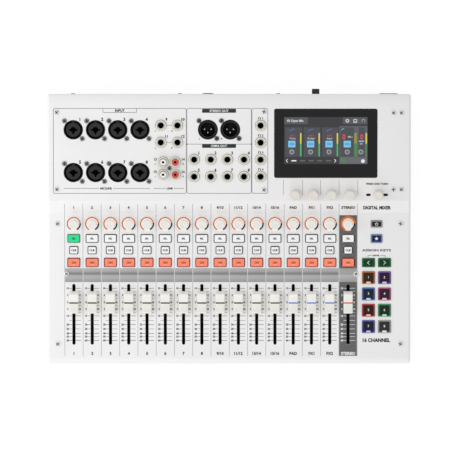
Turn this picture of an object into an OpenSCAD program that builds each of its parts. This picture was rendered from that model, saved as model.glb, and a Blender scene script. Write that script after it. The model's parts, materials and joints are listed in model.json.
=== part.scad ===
// Desktop digital mixing console with sixteen strips, a jack field and a touch screen.
// X runs along the strips' row, +Y to the rear, +Z up; z = 0 is the table under the feet.

/* [Case] */
// Width of the case from side to side
case_w = 415; // [412:0.5:420]
// Depth of the case from front lip to rear edge
case_d = 308; // [307:0.5:312]
// Height of the rubber feet, and of the case above the table
foot_h = 6; // [4:0.5:10]
// Height of the joint line between bottom case and top panel
parting_z = 20; // [16:0.5:22]
// Height of the front end of the fader deck
front_h = 44; // [42:0.5:50]
// Radius of the rounded front lip
lip_r = 8; // [7:0.5:8]
// Slope of both decks, in degrees
deck_tilt = 7; // [5:0.5:9]
// Rise of the ramp between the two decks
ramp_rise = 12; // [10:0.5:14]
// Width of the open joint between bottom case and top panel
joint_gap = 1.1; // [1.1:0.1:1.5]
// Thickness of the top panel and its side walls
wall = 2.4; // [2:0.1:2.8]

/* [Strips] */
// Number of channel strips
strip_count = 16; // [16]
// Distance from one strip to the next
strip_pitch = 20.9; // [20.5:0.1:21]
// Centre of the first strip
first_strip_x = -177.35; // [-178:0.05:-177]
// Travel of a fader from its lowest to its highest mark
fader_travel = 60; // [60]
// Part of that travel above the rest position
fader_rise = 16; // [10:1:30]

/* [Keys] */
// How far a key stands out of the deck
key_proud = 1.4; // [1:0.1:2]
// How far a key can be pressed
key_travel = 0.8; // [0.3:0.1:0.9]
// Gap all round a key in its opening
key_gap = 0.35; // [0.3:0.05:0.4]

/* [Knobs] */
// Diameter of a channel knob
channel_knob_d = 11; // [10:0.5:12]
// Height of a channel knob
channel_knob_h = 13; // [10:0.5:16]
// Diameter of a dial under the screen
screen_dial_d = 11.8; // [10:0.2:13]
// Height of a dial under the screen
screen_dial_h = 11; // [8:0.5:14]
// Diameter of an encoder's shaft
shaft_d = 5.96; // [5.9:0.02:5.98]

/* [Sockets] */
// Bore of a 6.35 mm phone socket
phone_bore_d = 6.5; // [6.4:0.05:6.6]
// Diameter of a combo socket's round face
combo_d = 22; // [21:0.5:22]
// Diameter of an output socket's round face
output_d = 22.6; // [21:0.2:22.6]

/* [Power button] */
// How far the power button stands out of the rear edge
button_proud = 6.2; // [4:0.2:8]
// How far the power button can be pushed in
button_travel = 2.5; // [1:0.5:3]

/* [Hidden] */
$fn = 48;
SLACK = 0.05;
CLEAR = 0.3;

// the case's side view: heights of both decks at a place y
deck_front_y = -case_d / 2 + lip_r;
ramp_foot_y = 18.3;
ramp_top_y = 32.4;
crest_y = 142;
deck_slope = tan(deck_tilt);
ramp_slope = ramp_rise / (ramp_top_y - ramp_foot_y);
function fader_deck_z(y) = front_h + (y - deck_front_y) * deck_slope;
ramp_foot_z = fader_deck_z(ramp_foot_y);
ramp_top_z = ramp_foot_z + ramp_rise;
function rear_deck_z(y) = ramp_top_z + (y - ramp_top_y) * deck_slope;
crest_z = rear_deck_z(crest_y);
rear_edge_r = 2;
roll_length = case_d / 2 - rear_edge_r - crest_y;
roll_end_slope = -tan(10);
rear_lip_h = 11;
rear_inset = 0.4;
rear_face_y = case_d / 2 - rear_inset;
rear_sheet = 1.6;
rear_panel_top_z = crest_z - rear_lip_h - CLEAR;

// rows of controls on the fader deck
encoder_row_y = 5.9;
sel_row = [-10.75, 13.9, 9.3];
cue_row = [-24.15, 9.6, 8.7];
on_row = [-38.25, 14.2, 10.1];
fader_row_y = -83.6;
slot_w = 3.1;
slot_end_gap = 0.8;
lever = [1.2, 8];
lever_depth = 11;
cap = [10.4, 25.4, 10.5];
cap_lift = 1;
slot_length = fader_travel + lever[1] + 2 * slot_end_gap;
slot_mid = fader_rise - fader_travel / 2;
fader_unit = [14, 90, 13];
unit_drop = wall + 0.6;
unit_floor = unit_drop + fader_unit[2];

// keys at the right of the strips
right_x = 168.6;
right_gap = 18.3;
bank_key = [14.3, 10.1];
bank_row_y = -38.4;
user_key = [14.3, 14.3];
user_row_y = -55.6;
user_pitch = 18.65;
home_key = [12.7, 7.6];
home_key_y = 5.8;
star_key = [12.7, 9.6];
star_key_y = -10.9;

// rear deck
screen = [117.4, 79];
screen_at = [110.4, 97.7];
screen_dial_x = [for (i = [0 : 3]) 75.4 + 20.8 * i];
dial_row_y = 39.3;
turn_dial_x = 170.2;
combo_at = [for (x = [0 : 3], y = [0, 1]) [-177.6 + 25.37 * x, 64.4 + 48.7 * y]];
output_at = [[-24.1, 113.3], [1.4, 113.3]];
line_at = [for (x = [-77.8, -58.8], y = [98.8, 118.2]) [x, y]];
omni_at = [for (x = [0 : 3], y = [59.8, 79.3]) [-39.8 + 18.97 * x, y]];
headphone_at = [for (y = [0 : 3]) [36, 59.8 + 19.4 * y]];
phone_at = concat(line_at, omni_at, headphone_at);
phono_at = [for (x = [-75.2, -61.3], y = [62.4, 76.6]) [x, y]];
phono_mid = [-68.1, 69.4];
flange_screw = [10.1, 10.1];
flange = [25, 30];
socket_depth = 25;
bushing_r = 4.4;
nut_r = 6.25;

// screws
screw_r = 2.5;
shank_r = 1.4;
edge_screw_at = [
    [-196.7, 133], [-196.5, 45.2], [39.9, 133.7], [39.9, 44.5],
    [187.5, 132.4], [196.5, 132.4], [187.5, 45.1], [196.5, 45.1]
];
deck_screw_at = [[-196, 6], [196, 6], [-196, -131.5], [196, -131.5]];
band_screw_at = [[-185.8, -51.3], [145, -51.3]];
rear_screw_x = [-177.8, -56.1, 56.1, 177.8];
rear_screw_z = [14, 74];
foot_at = [for (x = [-170, 170], y = [-122, 122]) [x, y]];
foot_r = 9;

// rear connectors: centre x, centre z, width, height of each opening
inlet = [182.4, 38, 16.8, 24.4];
inlet_face = [20.9, 28.6];
inlet_proud = 1.1;
network_port = [140, 30, 11.8, 8];
usb_port = [112, 30, 12.5, 5.2];
video_port = [84, 30, 14.2, 4.8];
small_ports = [[60, 30, 8.9, 3.2], [42, 30, 8.9, 3.2], [10, 30, 24.6, 2.6]];
foot_switch = [-24, 32];
button_at = [99, 60];
button = [8.6, 8.6];
button_back = 2;
switch_front = button_back + button_travel + 1;
port_depth = 12;
port_wall = 0.8;

// boards
board = 1.6;
key_board_drop = 9;
key_foot = wall + 1.5;
plunger_top = key_foot + key_travel + 0.25;
floor_board_z = foot_h + 6;

function strip_x(i) = first_strip_x + (i - 1) * strip_pitch;

// ---- placing ----

// The button stands behind the case, so the case sits forward of the origin by half of it
module on_case() {
    translate([0, -button_proud / 2, 0]) children();
}

module on_fader_deck(x, y) {
    translate([x, y, fader_deck_z(y)]) rotate([deck_tilt, 0, 0]) children();
}

module on_rear_deck(x, y) {
    translate([x, y, rear_deck_z(y)]) rotate([deck_tilt, 0, 0]) children();
}

// Faces +Y, with local x to the case's left and local y up
module on_rear_face(x, z) {
    translate([x, rear_face_y, z]) rotate([90, 0, 180]) children();
}

// ---- shared shapes ----

module rounded_rect(w, d, r) {
    square([w - 2 * r, d], center = true);
    square([w, d - 2 * r], center = true);
    for (sx = [-1, 1], sy = [-1, 1])
        translate([sx * (w / 2 - r), sy * (d / 2 - r)])
            circle(r);
}

// Rounded upright edges, centred on X and Y, from z = low to z = high
module rounded_block(w, d, low, high, r) {
    translate([0, 0, low]) linear_extrude(high - low) rounded_rect(w, d, r);
}

module plain_block(w, d, low, high) {
    translate([-w / 2, -d / 2, low]) cube([w, d, high - low]);
}

module tube(outer, inner, low, high) {
    difference() {
        translate([0, 0, low]) cylinder(r = outer, h = high - low);
        translate([0, 0, low - 1]) cylinder(r = inner, h = high - low + 2);
    }
}

// ---- case ----

// Height where two lines z = m * y + c cross, as a point [y, z]
function crossing(m1, c1, m2, c2) = let(y = (c2 - c1) / (m1 - m2)) [y, m1 * y + c1];

// The case's side view, set in by a distance on every face, from z = low up
function side_view(inset, low) = let(
    lip = [deck_front_y, front_h - lip_r / cos(deck_tilt)],
    lip_steps = 9,
    lip_turn = (90 - deck_tilt) / lip_steps,
    drop = inset / cos(deck_tilt),
    ramp_drop = inset * sqrt(1 + ramp_slope * ramp_slope),
    low_line = front_h - deck_front_y * deck_slope - drop,
    ramp_line = ramp_foot_z - ramp_foot_y * ramp_slope - ramp_drop,
    high_line = ramp_top_z - ramp_top_y * deck_slope - drop,
    bend = (deck_slope - roll_end_slope) / roll_length,
    rear = [case_d / 2 - rear_edge_r, crest_z - inset]
) concat(
    [[-case_d / 2 + inset, low]],
    [for (i = [0 : lip_steps]) let(a = 180 - lip_turn * i)
        lip + (lip_r - inset) * [cos(a), sin(a)]],
    [crossing(deck_slope, low_line, ramp_slope, ramp_line)],
    [crossing(ramp_slope, ramp_line, deck_slope, high_line)],
    [for (s = [0 : 2 : roll_length])
        [crest_y + s, crest_z - drop + deck_slope * s - bend * s * s / 2]],
    inset > 0 ? [[case_d / 2 - inset, rear[1] - 1]] :
        [for (a = [60 : -20 : 0]) [rear[0], crest_z - 2.3] + rear_edge_r * [cos(a), sin(a)]],
    [[case_d / 2 - inset, low]]
);

module case_block(inset, low) {
    rotate([90, 0, 90])
        linear_extrude(case_w - 2 * inset, center = true)
            polygon(side_view(inset, low));
}

module case_plan(inset, low, high) {
    rounded_block(case_w - 2 * inset, case_d - 2 * inset, low, high, 3.5 - inset);
}

module key_opening(size) {
    rounded_block(size[0] + 2 * key_gap, size[1] + 2 * key_gap, -2 * wall, wall, 1.2);
}

module round_opening(r) {
    translate([0, 0, -2 * wall]) cylinder(r = r, h = 4 * wall);
}

module strip_openings(x) {
    on_fader_deck(x, encoder_row_y) round_opening(8.15);
    for (row = [sel_row, cue_row, on_row])
        on_fader_deck(x, row[0]) key_opening([row[1], row[2]]);
    on_fader_deck(x, fader_row_y)
        translate([0, slot_mid, 0])
            rounded_block(slot_w, slot_length, -2 * wall, wall, 1.5);
}

module right_openings() {
    on_fader_deck(right_x, home_key_y) key_opening(home_key);
    on_fader_deck(right_x, star_key_y) key_opening(star_key);
    for (s = [-1, 1]) {
        on_fader_deck(right_x + s * right_gap / 2, bank_row_y) key_opening(bank_key);
        for (row = [0 : 3])
            on_fader_deck(right_x + s * right_gap / 2, user_row_y - row * user_pitch)
                key_opening(user_key);
    }
}

module rear_deck_openings() {
    on_rear_deck(screen_at[0], screen_at[1])
        rounded_block(screen[0] + 0.5, screen[1] + 0.5, -2 * wall, wall, 2.2);
    for (x = concat(screen_dial_x, [turn_dial_x])) on_rear_deck(x, dial_row_y) round_opening(4);
    for (p = combo_at) on_rear_deck(p[0], p[1]) round_opening(combo_d / 2 + 0.15);
    for (p = output_at) on_rear_deck(p[0], p[1]) round_opening(output_d / 2 + 0.15);
    for (p = phone_at) on_rear_deck(p[0], p[1]) round_opening(bushing_r + 0.2);
    for (p = phono_at) on_rear_deck(p[0], p[1]) round_opening(4.4);
}

module screw_openings() {
    for (p = concat(edge_screw_at, flange_screws(), [phono_mid]))
        on_rear_deck(p[0], p[1]) round_opening(shank_r + CLEAR);
    for (p = concat(deck_screw_at, band_screw_at))
        on_fader_deck(p[0], p[1]) round_opening(shank_r + CLEAR);
}

// The shell: the side view drawn out, less the same view set in, and open behind the rear panel
module top_shell() {
    difference() {
        intersection() {
            case_block(0, parting_z);
            case_plan(0, 0, crest_z + 10);
        }
        case_block(wall, parting_z - 5);
        translate([-case_w / 2 + wall, case_d / 2 - wall - 1, parting_z - 5])
            cube([case_w - 2 * wall, wall + 2, rear_panel_top_z + CLEAR - parting_z + 5]);
    }
}

// Bars behind the rear panel that its screws go into
module rear_brackets(low, high) {
    for (x = rear_screw_x)
        translate([x - 5, rear_face_y - rear_sheet - 5, low])
            cube([10, 5, high - low]);
}

module rear_screw_holes(z, r) {
    for (x = rear_screw_x)
        on_rear_face(x, z) translate([0, 0, -10]) cylinder(r = r, h = 15);
}

module top_panel() {
    on_case() color("whitesmoke")
        difference() {
            union() {
                top_shell();
                rear_brackets(rear_screw_z[1] - 5, crest_z - wall + 0.5);
            }
            rear_screw_holes(rear_screw_z[1], shank_r + CLEAR);
            for (i = [1 : strip_count]) strip_openings(strip_x(i));
            right_openings();
            rear_deck_openings();
            screw_openings();
        }
}

module bottom_vents() {
    for (side = [-1, 1], i = [-6 : 6])
        translate([side * 90 + i * 7 - 1.5, -20, foot_h - 1])
            cube([3, 50, 5]);
}

module bottom_case() {
    on_case() color("dimgray")
        difference() {
            union() {
                difference() {
                    case_plan(0, foot_h, parting_z - joint_gap);
                    case_plan(2, foot_h + 2, parting_z + 1);
                    translate([-case_w / 2 + 2, case_d / 2 - 4, foot_h + 2])
                        cube([case_w - 4, 5, parting_z]);
                }
                for (p = foot_at) translate([p[0], p[1], foot_h + 1]) cylinder(r = 6, h = 4);
                rear_brackets(foot_h + 1, parting_z - joint_gap);
            }
            for (p = foot_at) translate([p[0], p[1], 0]) cylinder(r = shank_r + SLACK, h = 30);
            rear_screw_holes(rear_screw_z[0], shank_r + CLEAR);
            bottom_vents();
        }
}

module port_hole(port, margin) {
    on_rear_face(port[0], port[1])
        plain_block(port[2] + 2 * margin, port[3] + 2 * margin, -5, 5);
}

module rear_panel() {
    on_case() color("#303234")
        difference() {
            translate([-case_w / 2 + 2.7, rear_face_y - rear_sheet, foot_h + 2])
                cube([case_w - 5.4, rear_sheet, rear_panel_top_z - foot_h - 2]);
            port_hole([inlet[0], inlet[1], inlet[2] + 2, inlet[3] + 2], 0.2);
            for (port = concat([network_port, usb_port, video_port], small_ports))
                port_hole(port, port_wall + 0.2);
            on_rear_face(foot_switch[0], foot_switch[1])
                translate([0, 0, -5]) cylinder(r = bushing_r + 0.2, h = 10);
            on_rear_face(button_at[0], button_at[1])
                rounded_block(button[0] + 0.8, button[1] + 0.8, -5, 5, 1.4);
            for (z = rear_screw_z) rear_screw_holes(z, shank_r + CLEAR);
        }
}

module feet() {
    on_case() color("#202020")
        for (p = foot_at)
            translate([p[0], p[1], 0])
                difference() {
                    rotate_extrude()
                        polygon([
                            [0, 0], [foot_r - 1, 0], [foot_r, 1],
                            [foot_r, foot_h - 1.5], [foot_r - 1, foot_h], [0, foot_h]
                        ]);
                    translate([0, 0, -1]) cylinder(r = 3.4, h = 3.5);
                    cylinder(r = 1.7, h = foot_h + 1);
                }
}

// ---- screws ----

function flange_screws() = [
    for (p = concat(combo_at, output_at), s = [-1, 1])
        [p[0] + s * flange_screw[0], p[1] - s * flange_screw[1]]
];

// A domed cross-head screw with its head on z = 0 and its shank below
module screw(head, length) {
    difference() {
        rotate_extrude()
            polygon([
                [0, -length], [shank_r, -length], [shank_r, 0], [head, 0],
                [head, 0.5], [head * 0.8, 1.05], [head * 0.4, 1.3], [0, 1.3]
            ]);
        for (a = [0, 90]) rotate([0, 0, a]) plain_block(head, 0.6, 0.7, 2);
    }
}

module screws() {
    on_case() color("silver") {
        for (p = concat(edge_screw_at, flange_screws(), [phono_mid]))
            on_rear_deck(p[0], p[1]) screw(screw_r, 8);
        for (p = deck_screw_at) on_fader_deck(p[0], p[1]) screw(screw_r, 8);
        for (p = band_screw_at) on_fader_deck(p[0], p[1]) screw(2.85, 2.6);
        for (x = rear_screw_x, z = rear_screw_z) on_rear_face(x, z) screw(screw_r, 6);
        for (p = foot_at)
            translate([p[0], p[1], 2.5]) rotate([180, 0, 0]) screw(2.9, 5);
    }
}

// ---- screen ----

module screen_glass() {
    on_case() color("#101214")
        on_rear_deck(screen_at[0], screen_at[1])
            rounded_block(screen[0], screen[1], -1.6, 0.5, 2);
}

module display_module() {
    on_case() color("#26282a")
        on_rear_deck(screen_at[0], screen_at[1]) {
            difference() {
                plain_block(105.5, 67.2, -5.6, -1.65);
                plain_block(97, 56, -2.4, 0);
            }
            plain_block(95, 54, -2.35, -1.65);
        }
}

// ---- sockets ----

// A phone socket's hole, slightly wider at the mouth above the deck's underside
module phone_bore(depth) {
    translate([0, 0, -depth]) cylinder(d = phone_bore_d, h = depth + 5);
}

module combo_jack() {
    difference() {
        union() {
            translate([0, 0, -wall - 0.2]) cylinder(d = combo_d, h = wall + 0.5);
            rounded_block(flange[0], flange[1], -wall - 2.4, -wall, 2);
            plain_block(23, 25, -socket_depth, -wall - 2.3);
        }
        translate([0, 0, -12]) tube(9.7, 7.9, 0, 20);
        phone_bore(22);
        for (a = [-150, -90, -30])
            rotate([0, 0, a]) translate([5.7, 0, -12]) cylinder(r = 1.25, h = 20);
        for (s = [-1, 1])
            translate([s * flange_screw[0], -s * flange_screw[1] / cos(deck_tilt), -8])
                cylinder(r = shank_r + SLACK, h = 10);
    }
}

module combo_jacks() {
    on_case() color("#1c1d1f")
        for (p = combo_at) on_rear_deck(p[0], p[1]) combo_jack();
}

module phone_jack() {
    difference() {
        union() {
            translate([0, 0, -wall - 0.1]) cylinder(r = bushing_r, h = wall + 2);
            plain_block(14, 15.5, -socket_depth, -wall);
        }
        phone_bore(23);
    }
    tube(nut_r, bushing_r + SLACK, 0, 1.8);
}

module phone_jacks() {
    on_case() color("ivory")
        for (p = phone_at) on_rear_deck(p[0], p[1]) phone_jack();
}

module rca_jack() {
    difference() {
        union() {
            translate([0, 0, -wall - 0.1]) cylinder(r = 4.15, h = wall + 9);
            plain_block(10.6, 10.6, -15, -wall);
        }
        translate([0, 0, 0.9]) tube(3.7, 2.9, 0, 10);
        cylinder(r = 1.65, h = 20);
    }
    tube(6, 4.2, 0, 1.4);
}

module rca_jacks() {
    on_case() color("tomato")
        for (p = phono_at) on_rear_deck(p[0], p[1]) rca_jack();
}

module xlr_output() {
    difference() {
        union() {
            translate([0, 0, -wall - 0.2]) cylinder(d = output_d, h = wall + 0.5);
            rounded_block(flange[0], flange[1], -wall - 2.4, -wall, 2);
            plain_block(22, 24, -socket_depth, -wall - 2.3);
        }
        translate([0, 0, -13]) cylinder(r = 8.4, h = 20);
        for (s = [-1, 1])
            translate([s * flange_screw[0], -s * flange_screw[1] / cos(deck_tilt), -8])
                cylinder(r = shank_r + SLACK, h = 10);
    }
    for (a = [-90, 0, 180])
        rotate([0, 0, a]) translate([3.85, 0, -13.5]) cylinder(r = 1.2, h = 10.5);
}

module xlr_outputs() {
    on_case() color("#2a2b2d")
        for (p = output_at) on_rear_deck(p[0], p[1]) xlr_output();
}

// ---- fader and encoder mechanisms ----

module fader_units() {
    on_case() color("lightsteelblue")
        for (i = [1 : strip_count])
            on_fader_deck(strip_x(i), fader_row_y)
                translate([0, slot_mid, 0])
                    difference() {
                        plain_block(fader_unit[0], fader_unit[1], -unit_floor, -unit_drop);
                        plain_block(slot_w, slot_length, -unit_floor + 1, 0);
                    }
}

// Body under the deck and a threaded bushing up through it, bored for the shaft
module encoder_unit() {
    difference() {
        union() {
            plain_block(12, 13, -key_board_drop, -wall - 0.3);
            translate([0, 0, -wall - 0.4]) cylinder(r = 3.8, h = wall + 1.2);
        }
        translate([0, 0, -key_board_drop + 1]) cylinder(d = shaft_d + 0.14, h = 20);
    }
}

module encoder_units() {
    on_case() color("slategray") {
        for (i = [1 : strip_count])
            on_fader_deck(strip_x(i), encoder_row_y) encoder_unit();
        for (x = concat(screen_dial_x, [turn_dial_x]))
            on_rear_deck(x, dial_row_y) encoder_unit();
    }
}

// A frosted disc set in the deck, with the lit ring raised on it and open at the bottom
module light_guide() {
    tube(8, 3.95, -wall, 0);
    difference() {
        tube(7.9, 6.6, -0.1, 0.3);
        linear_extrude(2) polygon([[0, 0], [-6, -12], [6, -12]]);
    }
}

module light_guides() {
    on_case() color("orange")
        for (i = [1 : strip_count])
            on_fader_deck(strip_x(i), encoder_row_y) light_guide();
}

// ---- moving parts ----

module knob(diameter, height) {
    rotate_extrude()
        polygon([
            [0, -key_board_drop + 1.4], [shaft_d / 2, -key_board_drop + 1.4], [shaft_d / 2, 1],
            [diameter / 2, 1], [diameter / 2 - 0.25, height], [diameter / 2 - 1, height + 1],
            [0, height + 1]
        ]);
}

module channel_knob(i) {
    on_case() color("gainsboro")
        on_fader_deck(strip_x(i), encoder_row_y) knob(channel_knob_d, channel_knob_h);
}

module screen_dial(i) {
    on_case() color("ivory")
        on_rear_deck(screen_dial_x[i - 1], dial_row_y) knob(screen_dial_d, screen_dial_h);
}

module touch_turn_dial() {
    on_case() color("ivory")
        on_rear_deck(turn_dial_x, dial_row_y) knob(10.8, 12.5);
}

// Side view of a fader cap: raised ends and a hollow for the finger between them
function cap_side_view() = let(
    foot = cap[1] / 2,
    head = foot - 1.6,
    dip = 3.6
) concat(
    [[-foot, 0], [-foot, 3]],
    [[-head, cap[2] - 0.6], [-head + 0.8, cap[2]]],
    [for (a = [-8 : 2 : 8]) [a, cap[2] - dip * (1 - pow(a / 10.2, 2))]],
    [[head - 0.8, cap[2]], [head, cap[2] - 0.6]],
    [[foot, 3], [foot, 0]]
);

module fader(i) {
    on_case() color("white")
        on_fader_deck(strip_x(i), fader_row_y) {
            difference() {
                translate([0, 0, cap_lift])
                    rotate([90, 0, 90])
                        linear_extrude(cap[0], center = true)
                            polygon(cap_side_view());
                plain_block(lever[0] + 2 * SLACK, lever[1] + 2 * SLACK, 0, 6 + SLACK);
            }
            plain_block(lever[0], lever[1], -lever_depth, 6);
        }
}

// A key's cap through the deck and the wider foot that keeps it in
module key(size) {
    rounded_block(size[0], size[1], -wall - 0.5, key_proud, 1);
    rounded_block(size[0] + 1.6, size[1] + 1.6, -key_foot, -wall - 0.4, 1);
}

module key_row(row) {
    for (i = [1 : strip_count]) on_fader_deck(strip_x(i), row[0]) key([row[1], row[2]]);
}

module sel_keys() {
    on_case() color("white") key_row(sel_row);
}

module cue_keys() {
    on_case() color("white") key_row(cue_row);
}

module on_keys() {
    on_case() color("coral") key_row(on_row);
}

module function_keys() {
    on_case() color("midnightblue") {
        on_fader_deck(right_x, home_key_y) key(home_key);
        on_fader_deck(right_x, star_key_y) key(star_key);
    }
}

module bank_keys() {
    on_case() color("seagreen")
        for (s = [-1, 1]) on_fader_deck(right_x + s * right_gap / 2, bank_row_y) key(bank_key);
}

module user_keys() {
    on_case() color("slateblue")
        for (s = [-1, 1], row = [0 : 3])
            on_fader_deck(right_x + s * right_gap / 2, user_row_y - row * user_pitch)
                key(user_key);
}

module power_button() {
    on_case() color("#151617")
        on_rear_face(button_at[0], button_at[1]) {
            rounded_block(button[0], button[1], -button_back, button_proud + rear_inset, 1);
            rounded_block(4, 4, -switch_front - 3.5, -button_back + 0.1, 1);
        }
}

// ---- inside ----

module tact_switch() {
    plain_block(6, 6, -key_board_drop, -plunger_top - 0.65);
    translate([0, 0, -plunger_top - 0.75]) cylinder(r = 1.7, h = 0.75);
}

// A board parallel to the fader deck, over a plan area, at a depth under it
module deck_board(low, high, drop) {
    on_fader_deck((low[0] + high[0]) / 2, (low[1] + high[1]) / 2)
        plain_block(high[0] - low[0], high[1] - low[1], -drop - board, -drop);
}

module rear_board(low, high, drop) {
    on_rear_deck((low[0] + high[0]) / 2, (low[1] + high[1]) / 2)
        plain_block(high[0] - low[0], high[1] - low[1], -drop - board, -drop);
}

module key_boards() {
    deck_board([-192, -45.5], [192, 14], key_board_drop);
    deck_board([149, -122], [192, -46], key_board_drop);
    for (i = [1 : strip_count], row = [sel_row, cue_row, on_row])
        on_fader_deck(strip_x(i), row[0]) tact_switch();
    on_fader_deck(right_x, home_key_y) tact_switch();
    on_fader_deck(right_x, star_key_y) tact_switch();
    for (s = [-1, 1]) {
        on_fader_deck(right_x + s * right_gap / 2, bank_row_y) tact_switch();
        for (row = [0 : 3])
            on_fader_deck(right_x + s * right_gap / 2, user_row_y - row * user_pitch)
                tact_switch();
    }
}

module board_post(x, y) {
    translate([x, y, foot_h + 2]) cylinder(r = 3, h = floor_board_z - foot_h - 2);
}

module power_board() {
    translate([110, 62, floor_board_z]) cube([78, 62, board]);
    translate([116, 70, floor_board_z + board]) cube([26, 30, 22]);
    for (i = [0 : 2])
        translate([156, 76 + 15 * i, floor_board_z + board]) cylinder(r = 6, h = 20);
    for (x = [114, 184], y = [66, 120]) board_post(x, y);
}

module main_board() {
    translate([-150, -60, floor_board_z]) cube([240, 150, board]);
    for (x = [-110, -40, 40]) translate([x, -5, floor_board_z + board]) cube([24, 24, 2]);
    translate([-80, 40, floor_board_z + board]) cube([40, 40, 12]);
    for (x = [-145, 85], y = [-55, 85]) board_post(x, y);
}

module circuit_boards() {
    on_case() color("darkgreen") {
        key_boards();
        deck_board([-190, -143], [147, -49], unit_floor);
        rear_board([-199, 40], [47, 139], socket_depth);
        rear_board([56, 62], [165, 134], 6);
        rear_board([66, 33.5], [182, 46], key_board_drop);
        main_board();
        power_board();
    }
}

// A box-shaped connector body behind the rear panel, open to the rear
module port(p) {
    on_rear_face(p[0], p[1])
        difference() {
            plain_block(p[2] + 2 * port_wall, p[3] + 2 * port_wall, -port_depth - 3, 0.2);
            plain_block(p[2], p[3], -port_depth, 1);
        }
}

module power_inlet() {
    on_rear_face(inlet[0], inlet[1]) {
        difference() {
            union() {
                plain_block(inlet[2] + 2, inlet[3] + 2, -19, 0.1);
                rounded_block(inlet_face[0], inlet_face[1], 0, inlet_proud + rear_inset, 1.5);
            }
            plain_block(inlet[2], inlet[3], -16, 5);
        }
        for (p = [[-2, 7], [-2, -7], [2, 0]])
            translate([p[0], p[1], 0]) plain_block(2, 4, -16.5, -4);
    }
}

module rear_connectors() {
    on_case() color("dimgray") {
        power_inlet();
        for (p = concat([network_port, usb_port, video_port], small_ports)) port(p);
        on_rear_face(foot_switch[0], foot_switch[1]) {
            difference() {
                union() {
                    translate([0, 0, -2]) cylinder(r = bushing_r, h = 4);
                    plain_block(14, 14, -socket_depth, -1.8);
                }
                phone_bore(23);
            }
            tube(nut_r, bushing_r + SLACK, 0, 1.8);
        }
        on_rear_face(button_at[0], button_at[1])
            difference() {
                plain_block(16, 14, -26, -switch_front);
                plain_block(4.6, 4.6, -15, 0);
            }
    }
}

bottom_case();
top_panel();
rear_panel();
feet();
screws();
screen_glass();
display_module();
combo_jacks();
phone_jacks();
rca_jacks();
xlr_outputs();
fader_units();
encoder_units();
light_guides();
circuit_boards();
rear_connectors();
sel_keys();
cue_keys();
on_keys();
function_keys();
bank_keys();
user_keys();
touch_turn_dial();
power_button();
for (i = [1 : 4])
    screen_dial(i);
for (i = [1 : strip_count])
    channel_knob(i);
for (i = [1 : strip_count])
    fader(i);
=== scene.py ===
"""Desktop digital mixing console: the looks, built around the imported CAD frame.

Lengths in the layout are millimetres in plan, measured from the case's centre; x to the right,
y to the rear. A Plane turns them into places on a tilted deck. Meshes are in metres.
"""
import json
import math
import random

import bpy
from mathutils import Matrix, Vector


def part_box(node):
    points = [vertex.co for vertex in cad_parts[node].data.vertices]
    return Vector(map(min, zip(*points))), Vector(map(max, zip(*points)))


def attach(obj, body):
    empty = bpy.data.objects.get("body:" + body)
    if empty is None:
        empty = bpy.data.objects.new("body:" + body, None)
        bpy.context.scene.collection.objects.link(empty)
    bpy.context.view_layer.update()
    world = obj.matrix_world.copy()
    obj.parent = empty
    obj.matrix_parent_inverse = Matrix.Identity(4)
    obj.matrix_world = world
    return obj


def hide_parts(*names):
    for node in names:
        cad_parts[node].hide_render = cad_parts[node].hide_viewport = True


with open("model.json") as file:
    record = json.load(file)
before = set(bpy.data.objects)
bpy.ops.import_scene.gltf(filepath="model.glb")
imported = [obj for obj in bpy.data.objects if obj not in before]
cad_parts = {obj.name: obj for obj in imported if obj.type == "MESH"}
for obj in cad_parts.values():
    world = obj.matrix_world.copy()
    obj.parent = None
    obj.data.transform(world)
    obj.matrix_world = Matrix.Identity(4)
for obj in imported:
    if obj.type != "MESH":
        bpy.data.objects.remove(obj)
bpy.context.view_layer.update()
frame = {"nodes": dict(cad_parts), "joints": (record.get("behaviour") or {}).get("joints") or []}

MM = 0.001
SUNK, INK = -0.01, 0.03     # where printing starts and ends above its surface
joints = {j["name"]: j for j in frame["joints"]}

# ---- places from the frame

case_low, case_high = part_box("top_panel")
CASE_W = (case_high.x - case_low.x) / MM
CASE_D = (case_high.y - case_low.y) / MM
CASE_Y = (case_high.y + case_low.y) / 2 / MM
PARTING_Z = case_low.z / MM
deck_normal = Vector(joints["sel_keys_press"]["axis"])
TILT = math.atan2(-deck_normal.y, deck_normal.z)
SLOPE = math.tan(TILT)


def plan(point):
    """A world point as (x, y, z) in mm from the case's centre."""
    return point[0] / MM, point[1] / MM - CASE_Y, point[2] / MM


class Plane:
    """A sloping surface: through one known point, rising towards +Y."""

    def __init__(self, y, z, angle):
        self.y, self.z, self.angle = y, z, angle
        self.along = Vector((0, math.cos(angle), math.sin(angle)))
        self.up = Vector((0, -math.sin(angle), math.cos(angle)))

    def height(self, y):
        return self.z + (y - self.y) * math.tan(self.angle)

    def at(self, x, y, lift=0.0, turn=0.0):
        """The local frame, in metres, of a place on the surface."""
        origin = Vector((x, y + CASE_Y, self.height(y))) + self.up * lift
        axes = Matrix((Vector((1, 0, 0)), self.along, self.up)).transposed().to_4x4()
        return Matrix.Translation(origin * MM) @ axes @ Matrix.Rotation(turn, 4, "Z")


knob_places = [plan(joints[f"channel_knob_{i}_turn"]["pos_m"]) for i in range(1, 17)]
dial_places = [plan(joints[f"screen_dial_{i}_turn"]["pos_m"]) for i in range(1, 5)]
turn_place = plan(joints["touch_turn_dial_turn"]["pos_m"])
STRIP_X = [p[0] for p in knob_places]
PITCH = STRIP_X[1] - STRIP_X[0]
RING_Y = knob_places[0][1]
RING_HOLE_R = 8.15
DIAL_Y = dial_places[0][1]

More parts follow.
